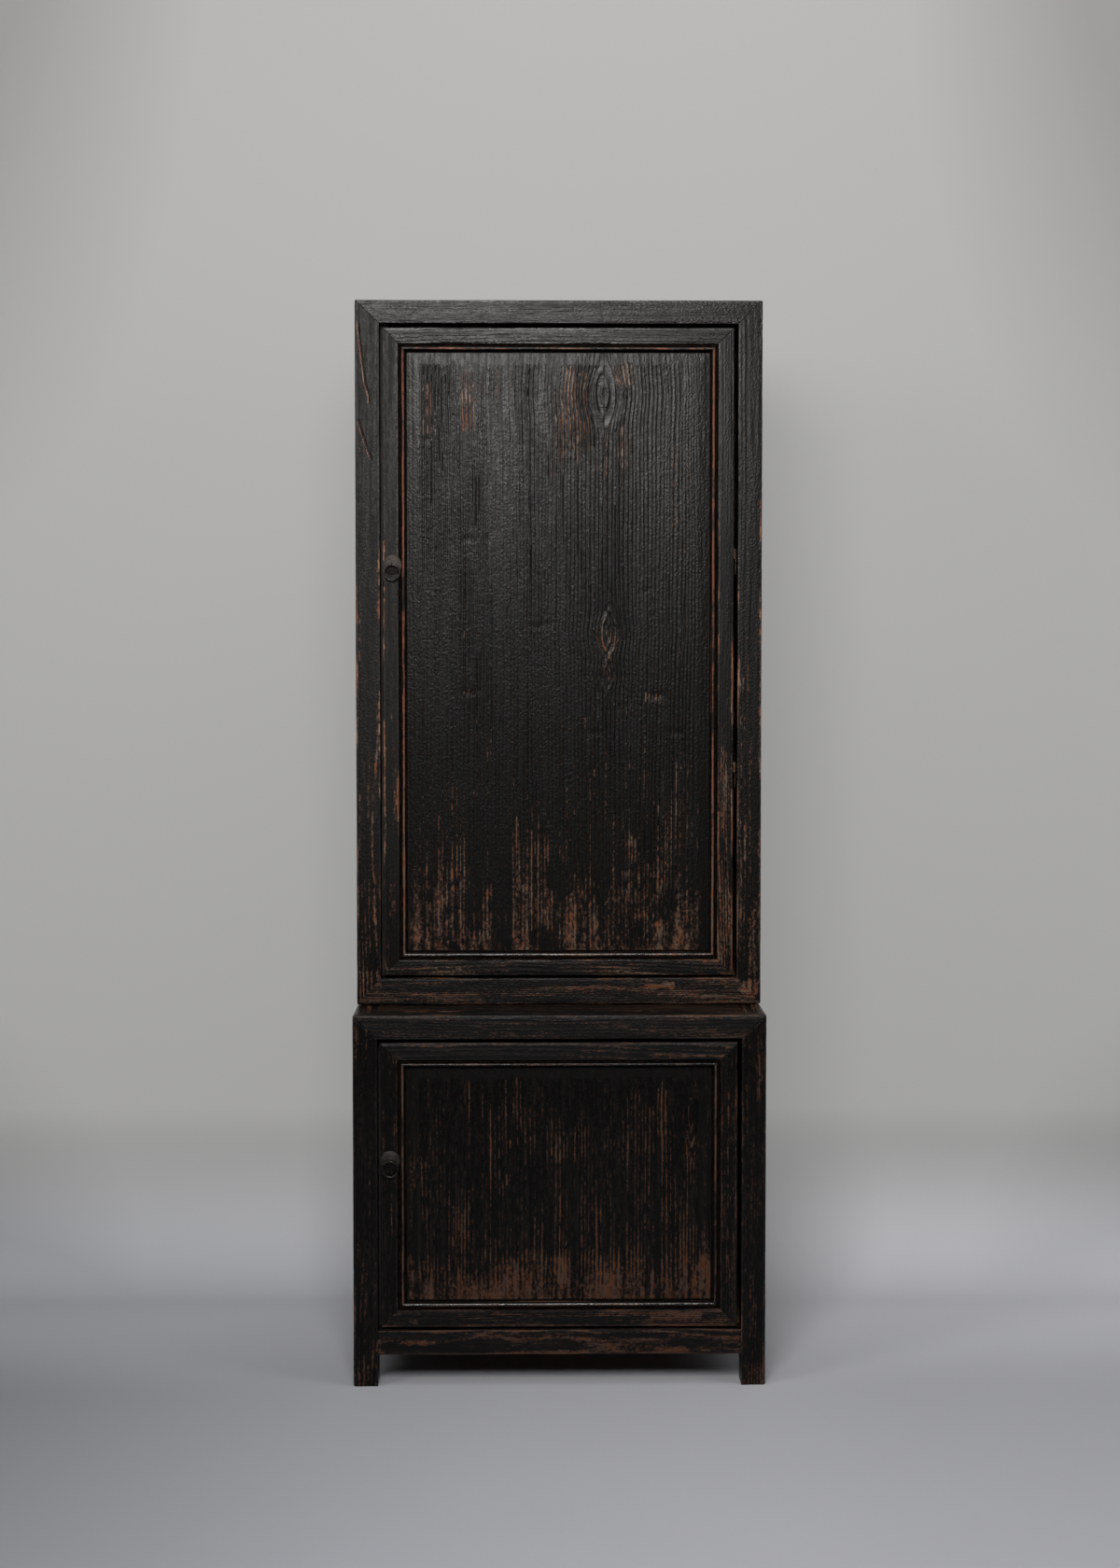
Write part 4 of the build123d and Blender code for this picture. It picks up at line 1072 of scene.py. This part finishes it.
class Shader:
    """Short calls for the node tree of a material or a world."""

    def __init__(self, name, owners=bpy.data.materials):
        self.owner = owners.new(name)
        self.owner.use_nodes = True
        self.tree = self.owner.node_tree
        self.tree.nodes.clear()

    def node(self, kind, inputs=(), **settings):
        """Outputs of a new node; its inputs go by name or number."""
        made = self.tree.nodes.new("ShaderNode" + kind)
        for name, value in settings.items():
            setattr(made, name, value)
        for key, value in dict(inputs).items():
            if isinstance(value, bpy.types.NodeSocket):
                self.tree.links.new(value, made.inputs[key])
            else:
                made.inputs[key].default_value = value
        return made.outputs

    def attribute(self, name):
        return self.node("Attribute", attribute_name=name)["Vector" if name == "grain" else "Fac"]

    def math(self, operation, *values):
        return self.node("Math", enumerate(values), operation=operation)[0]

    def plus(self, start, *terms):
        """start and each value times its factor."""
        for value, factor in terms:
            start = self.math("MULTIPLY_ADD", value, factor, start)
        return start

    def apart(self, vector):
        return self.node("SeparateXYZ", {"Vector": vector})

    def place(self):
        return self.node("TexCoord")["Object"]

    def noise(self, vector, scale, detail=2.0, roughness=0.5):
        """Noise from about 0.3 to 0.7, finer along the axes with a large scale."""
        scaled = self.node("VectorMath", {0: vector, 1: scale}, operation="MULTIPLY")[0]
        inputs = {"Vector": scaled, "Scale": 1.0, "Detail": detail, "Roughness": roughness}
        return self.node("TexNoise", inputs)["Fac"]

    def step(self, value, low, high):
        inputs = {"Value": value, "From Min": low, "From Max": high}
        return self.node("MapRange", inputs, interpolation_type="SMOOTHSTEP")[0]

    def span(self, value, low, high, to_low, to_high):
        inputs = {"Value": value, "From Min": low, "From Max": high, "To Min": to_low, "To Max": to_high}
        return self.node("MapRange", inputs)[0]

    def mix(self, share, first, second):
        return self.node("Mix", {0: share, 6: first, 7: second}, data_type="RGBA")[2]

    def bumps(self, *levels):
        """Normal of several heights, each with a strength and a distance."""
        inputs = {}
        for height, strength, distance in levels:
            inputs |= {"Height": height, "Strength": strength, "Distance": distance}
            inputs["Normal"] = self.node("Bump", inputs)[0]
        return inputs["Normal"]

    def finish(self, tint, roughness, normal, **more):
        inputs = {"Base Color": tint, "Roughness": roughness, "Normal": normal}
        inputs |= {name.replace("_", " "): value for name, value in more.items()}
        self.node("OutputMaterial", {"Surface": self.node("BsdfPrincipled", inputs)[0]})
        return self.owner


def colour(red, green, blue):
    """A colour from its values on screen, 0 to 255."""
    linear = [
        value / 255 / 12.92 if value <= 10 else ((value / 255 + 0.055) / 1.055) ** 2.4
        for value in (red, green, blue)
    ]
    return (*linear, 1.0)


def lacquer_material(name, roughness, specular, rubbed=None):
    """Worn black lacquer over a brown ground: the ridges of the grain lose it first. The bare
    wood differs by height; a rubbed colour is that of the arrises or beads high up."""
    s = Shader(name)
    grain, wear, ridge, polish = (s.attribute(name) for name in ("grain", "wear", "ridge", "polish"))
    fibre = s.noise(grain, (150, 150, 5), 4.0, 0.65)
    dash = s.noise(grain, (230, 230, 70), 3.0, 0.65)
    speck = s.noise(grain, (260, 260, 200), 2.5, 0.6)
    patch = s.noise(grain, (45, 45, 11), 3.0)
    worn = s.plus(wear, (ridge, 0.85), (fibre, 0.7), (dash, 1.0), (speck, 0.95), (patch, 0.5))
    brown = s.step(worn, 2.5, 2.66)
    open_wood = s.step(worn, 2.64, 2.92)
    height = s.apart(s.place())["Z"]
    bare = colour(72, 66, 59)
    for start, end, shade in (
        (1.15, 0.85, colour(72, 58, 46)),
        (1.35, 1.6, colour(98, 80, 69)),
        (0.66, 0.62, colour(57, 42, 34)),
        (0.8, 1.2, rubbed),
    ):
        if shade:
            bare = s.mix(s.step(height, start, end), bare, shade)
    rust = s.noise(grain, (90, 90, 26), 3.0)
    rusty = s.mix(s.step(height, 0.66, 0.62), colour(85, 48, 28), colour(66, 38, 22))
    bare = s.mix(s.step(rust, 0.44, 0.60), bare, rusty)
    ground = s.mix(s.step(patch, 0.35, 0.65), colour(42, 25, 16), colour(27, 17, 12))
    streak = s.math("ADD", fibre, dash)
    black = s.mix(s.step(streak, 0.9, 1.16), colour(1, 1, 1), colour(13, 10, 7))
    tint = s.mix(open_wood, s.mix(brown, black, ground), bare)
    gloss = s.span(streak, 0.85, 1.15, roughness + 0.08, roughness - 0.06)
    gloss = s.plus(gloss, (ridge, -0.12), (brown, 0.14), (polish, -0.05))
    grooves = s.noise(grain, (170, 170, 14), 1.5, 0.5)
    pits = s.noise(grain, (300, 300, 240), 1.0, 0.5)
    normal = s.bumps((s.plus(grooves, (brown, -0.25)), 1.0, 0.6 * MM), (pits, 1.0, 0.55 * MM))
    return s.finish(tint, gloss, normal, Specular_IOR_Level=specular)


def raw_material(name, axis, dark, light):
    """Bare softwood, browned with age; its grain is the mesh's own, or along an axis."""
    s = Shader(name)
    if axis is None:
        grain, ridge = s.attribute("grain"), s.attribute("ridge")
    else:
        grain, ridge = grain_along(s, axis)
    fibre = s.noise(grain, (600, 600, 8), 3.0, 0.6)
    patch = s.noise(grain, (18, 18, 3), 2.0)
    pores = s.noise(grain, (1500, 1500, 60), 2.0)
    share = s.plus(s.math("MULTIPLY", fibre, 0.8), (ridge, 0.45), (patch, 0.5))
    tint = s.mix(s.step(share, 0.5, 1.15), light, dark)
    rough = s.span(fibre, 0.3, 0.7, 0.62, 0.82)
    return s.finish(tint, rough, s.bumps((fibre, 0.4, 0.3 * MM), (pores, 0.3, 0.12 * MM)))


def grain_along(s, axis):
    """Grain along one axis of a CAD node, with rings round a far heart."""
    parts = s.apart(s.place())
    order = (*others(axis), axis)
    turned = s.node("CombineXYZ", {to: parts[of] for to, of in enumerate(order)})[0]
    drift = s.noise(turned, (9, 9, 2.2), 2.0)
    ring = s.plus(s.math("MULTIPLY", drift, 26.0), (s.apart(turned)[0], 190.0))
    wave = s.math("SINE", s.math("MULTIPLY", ring, 6.2832))
    return turned, s.math("MULTIPLY_ADD", wave, 0.5, 0.5)


def iron_material(name, dark, light, low, high):
    """Old iron, with a roughness between low and high, and soot with a painted shadow of the ring where
    the ring lies.
    """
    s = Shader(name)
    place = s.place()
    blotch = s.noise(place, (260, 260, 260), 4.0, 0.6)
    fine = s.noise(place, (1400, 1400, 1400), 3.0, 0.6)
    tint = s.mix(s.step(blotch, 0.35, 0.68), dark, light)
    tint = s.mix(s.attribute("soot"), tint, colour(14, 10, 8))
    normal = s.bumps((blotch, 0.5, 0.25 * MM), (fine, 0.35, 0.08 * MM))
    return s.finish(tint, s.span(fine, 0.3, 0.7, low, high), normal, Metallic=0.8)


def shade_and_grime_material(name):
    """Old dirt over the lacquer where nothing rubs it off, darkened as painted shade in the recesses
    where it lies.
    """
    s = Shader(name)
    crumbs = s.noise(s.attribute("grain"), (420, 420, 160), 4.0, 0.6)
    tint = s.mix(s.step(crumbs, 0.4, 0.66), colour(3, 2, 1), colour(18, 11, 8))
    return s.finish(tint, 0.85, s.bumps((crumbs, 1.0, 0.4 * MM)), Specular_IOR_Level=0.02)


def paper_material(name, see_through_back):
    """Pale grey paper, cooler on the floor, with painted shade on the floor to its left and towards
    the corners of the wall, and painted light on the floor towards the wall; part of the wall's paleness
    is its own glow."""
    s = Shader(name)
    place = s.place()
    across, along, height = s.apart(place)
    # painted shade: the floor is darker towards its left
    left_floor_shade = s.step(across, 0.35, -1.9)
    floor = s.mix(left_floor_shade, colour(145, 147, 153), colour(81, 84, 90))
    # painted light: the floor is lighter towards the wall
    far_floor_light = s.mix(left_floor_shade, colour(170, 172, 178), colour(130, 133, 139))
    floor = s.mix(s.step(along, -0.3, 0.2), floor, far_floor_light)
    tint = s.mix(s.step(height, 0.0, 0.3), floor, colour(104, 104, 103))
    mottle = s.noise(place, (2.2, 2.2, 2.2), 3.0)
    shade = s.mix(s.span(mottle, 0.3, 0.7, 0.0, 0.05), tint, colour(100, 100, 100))
    paper = s.node("BsdfPrincipled", {"Base Color": shade, "Roughness": 0.9})[0]
    rays = s.node("LightPath")
    seen = s.math("MAXIMUM", rays["Is Camera Ray"], rays["Is Glossy Ray"])
    seen = s.math("MAXIMUM", seen, rays["Is Transmission Ray"])
    # painted shade: the wall's glow is taken down towards its corners, more than half a metre to either
    # side and away from a height of 1 m
    beside = s.math("MAXIMUM", s.math("SUBTRACT", s.math("ABSOLUTE", across), 0.5), 0.0)
    beyond = s.math("ABSOLUTE", s.math("SUBTRACT", height, 1.0))
    corner = s.span(s.math("MULTIPLY", beside, beyond), 0.3, 0.85, 0.0, 0.12)
    strength = s.math("SUBTRACT", s.span(height, 0.0, 0.32, 0.0, 0.23), corner)
    glow = s.math("MULTIPLY", seen, s.math("MAXIMUM", strength, 0.0))
    light = s.node("Emission", {"Color": colour(255, 255, 254), "Strength": glow})[0]
    surface = s.node("AddShader", {0: paper, 1: light})[0]
    if see_through_back:
        behind = s.node("NewGeometry")["Backfacing"]
        surface = s.node("MixShader", {0: behind, 1: surface, 2: s.node("BsdfTransparent")[0]})[0]
    s.node("OutputMaterial", {"Surface": surface})
    return s.owner


LACQUER = lacquer_material("black_lacquer", 0.38, 0.138)
RUBBED_LACQUER = lacquer_material("black_lacquer_arris", 0.40, 0.22, colour(112, 80, 62))
BEAD_LACQUER = lacquer_material("black_lacquer_bead", 0.33, 0.5, colour(88, 48, 33))
DULL_BEAD_LACQUER = lacquer_material("black_lacquer_dull_bead", 0.42, 0.2, colour(90, 48, 33))
SHADE_AND_GRIME = shade_and_grime_material("shade_and_grime")
BROWNED = (colour(84, 58, 40), colour(128, 94, 66))
RAW_WOOD = raw_material("bare_wood", None, *BROWNED)
RAW_ALONG = [raw_material(f"bare_wood_{name}", axis, *BROWNED) for axis, name in enumerate("xyz")]
# dark wood of the door stops: dirt, and painted shade in the gaps round the doors
DIRTY_SHADED_WOOD = raw_material("bare_wood_dirty_shaded", Z, colour(12, 8, 6), colour(28, 19, 13))
PLATE_IRON = iron_material("dark_iron_plate", colour(32, 29, 28), colour(50, 45, 42), 0.42, 0.6)
RING_IRON = iron_material("dark_iron", colour(22, 21, 20), colour(50, 47, 45), 0.2, 0.32)
PAPER = paper_material("backdrop_paper", True)
FLOOR = paper_material("floor_paper", False)
TIMBER_MATERIALS = [LACQUER, RAW_WOOD, RUBBED_LACQUER, SHADE_AND_GRIME]  # in the order of the finishes


# ---- what stays as the CAD has it


def dress_kept_nodes():
    for name, material in {
        "upper_shelf_1": RAW_ALONG[X],
        "upper_shelf_2": RAW_ALONG[X],
        "upper_shelf_bearers": RAW_ALONG[Y],
        # the door stops' dark wood is partly painted shade in the gaps round the doors
        "door_stops": DIRTY_SHADED_WOOD,
        "case_dowels": RAW_ALONG[Z],
        "upper_door_battens": RAW_ALONG[X],
        "lower_door_battens": RAW_ALONG[X],
    }.items():
        node = frame["nodes"][name]
        node.data.materials.clear()
        node.data.materials.append(material)


# ---- stage, lights and camera


def backdrop():
    """Paper that runs from the floor up the wall in one sweep, and a floor beyond it."""
    path = [(STAGE_FRONT, 0.0)]
    for turn in np.linspace(0, math.pi / 2, 25):
        along = WALL_Y - SWEEP_RADIUS + SWEEP_RADIUS * math.sin(turn)
        path.append((along, SWEEP_RADIUS * (1 - math.cos(turn))))
    path.append((WALL_Y, WALL_TOP))
    points = np.array([(x, y, z) for y, z in path for x in (-STAGE_HALF_WIDTH, STAGE_HALF_WIDTH)])
    faces = grid_faces(len(path), 2)
    piece = mesh_piece("backdrop", points, [faces], [np.zeros(len(faces), int)], [PAPER])
    far = FLOOR_HALF
    ground = ((-far, STAGE_FRONT), (far, STAGE_FRONT), (far, far), (-far, far))
    ground = np.array([(x, y, -1 * MM) for x, y in ground])
    floor = mesh_piece("floor", ground, [np.array([[0, 1, 2, 3]])], [np.zeros(1, int)], [FLOOR])


def softbox(name, place, aim, width, height, power):
    light = bpy.data.lights.new(name, "AREA")
    light.shape = "RECTANGLE"
    light.size = width
    light.size_y = height
    light.energy = power
    light.color = LAMP_TINT
    lamp = bpy.data.objects.new(name, light)
    lamp.location = place
    lamp.rotation_euler = (Vector(aim) - Vector(place)).to_track_quat("-Z", "Y").to_euler()
    lamp.visible_camera = False
    bpy.context.scene.collection.objects.link(lamp)


def lights():
    softbox("key_softbox", (-0.25, -2.8, 2.4), (0.0, 0.1, 1.2), 1.2, 1.2, 104)
    softbox("left_softbox", (-3.0, -2.4, 2.6), (0.0, 0.0, 1.2), 1.0, 1.6, 47)
    softbox("right_softbox", (3.0, -1.6, 2.0), (0.0, 0.0, 1.1), 1.2, 1.8, 30)
    softbox("top_softbox", (0.3, -0.9, 3.8), (0.0, -0.1, 0.6), 2.6, 1.6, 45)
    s = Shader("studio", bpy.data.worlds)
    around = s.node("Background", {"Color": (0.95, 0.98, 1.0, 1.0), "Strength": 0.03})[0]
    seen = s.node("Background", {"Color": colour(176, 176, 175)})[0]
    is_camera = s.node("LightPath")["Is Camera Ray"]
    s.node("OutputWorld", {"Surface": s.node("MixShader", {0: is_camera, 1: around, 2: seen})[0]})
    bpy.context.scene.world = s.owner


def camera():
    data = bpy.data.cameras.new("camera")
    data.lens = CAMERA_LENS
    data.sensor_width = SENSOR
    data.shift_y = SHIFT_Y
    made = bpy.data.objects.new("camera", data)
    made.location = CAMERA_PLACE
    made.rotation_euler = Euler((math.radians(90 - CAMERA_TILT), 0.0, math.radians(-CAMERA_TURN)))
    bpy.context.scene.collection.objects.link(made)
    bpy.context.scene.camera = made


# ---- the whole scene

camera()
lights()
backdrop()
bpy.context.scene.view_settings.view_transform = "Standard"
Case("lower", 1000).build()
Case("upper", 3000).build()
Door("lower", 5000, LOWER_MARKS, LOWER_KNOTS, LOWER_DENTS, LOWER_WEAR, 0.2, 2.2).build()
Door("upper", 6000, UPPER_MARKS, UPPER_KNOTS, UPPER_DENTS, UPPER_WEAR, 0.3, 0.2).build()
Pull("lower", 7001).build()
Pull("upper", 7101).build()
dress_kept_nodes()
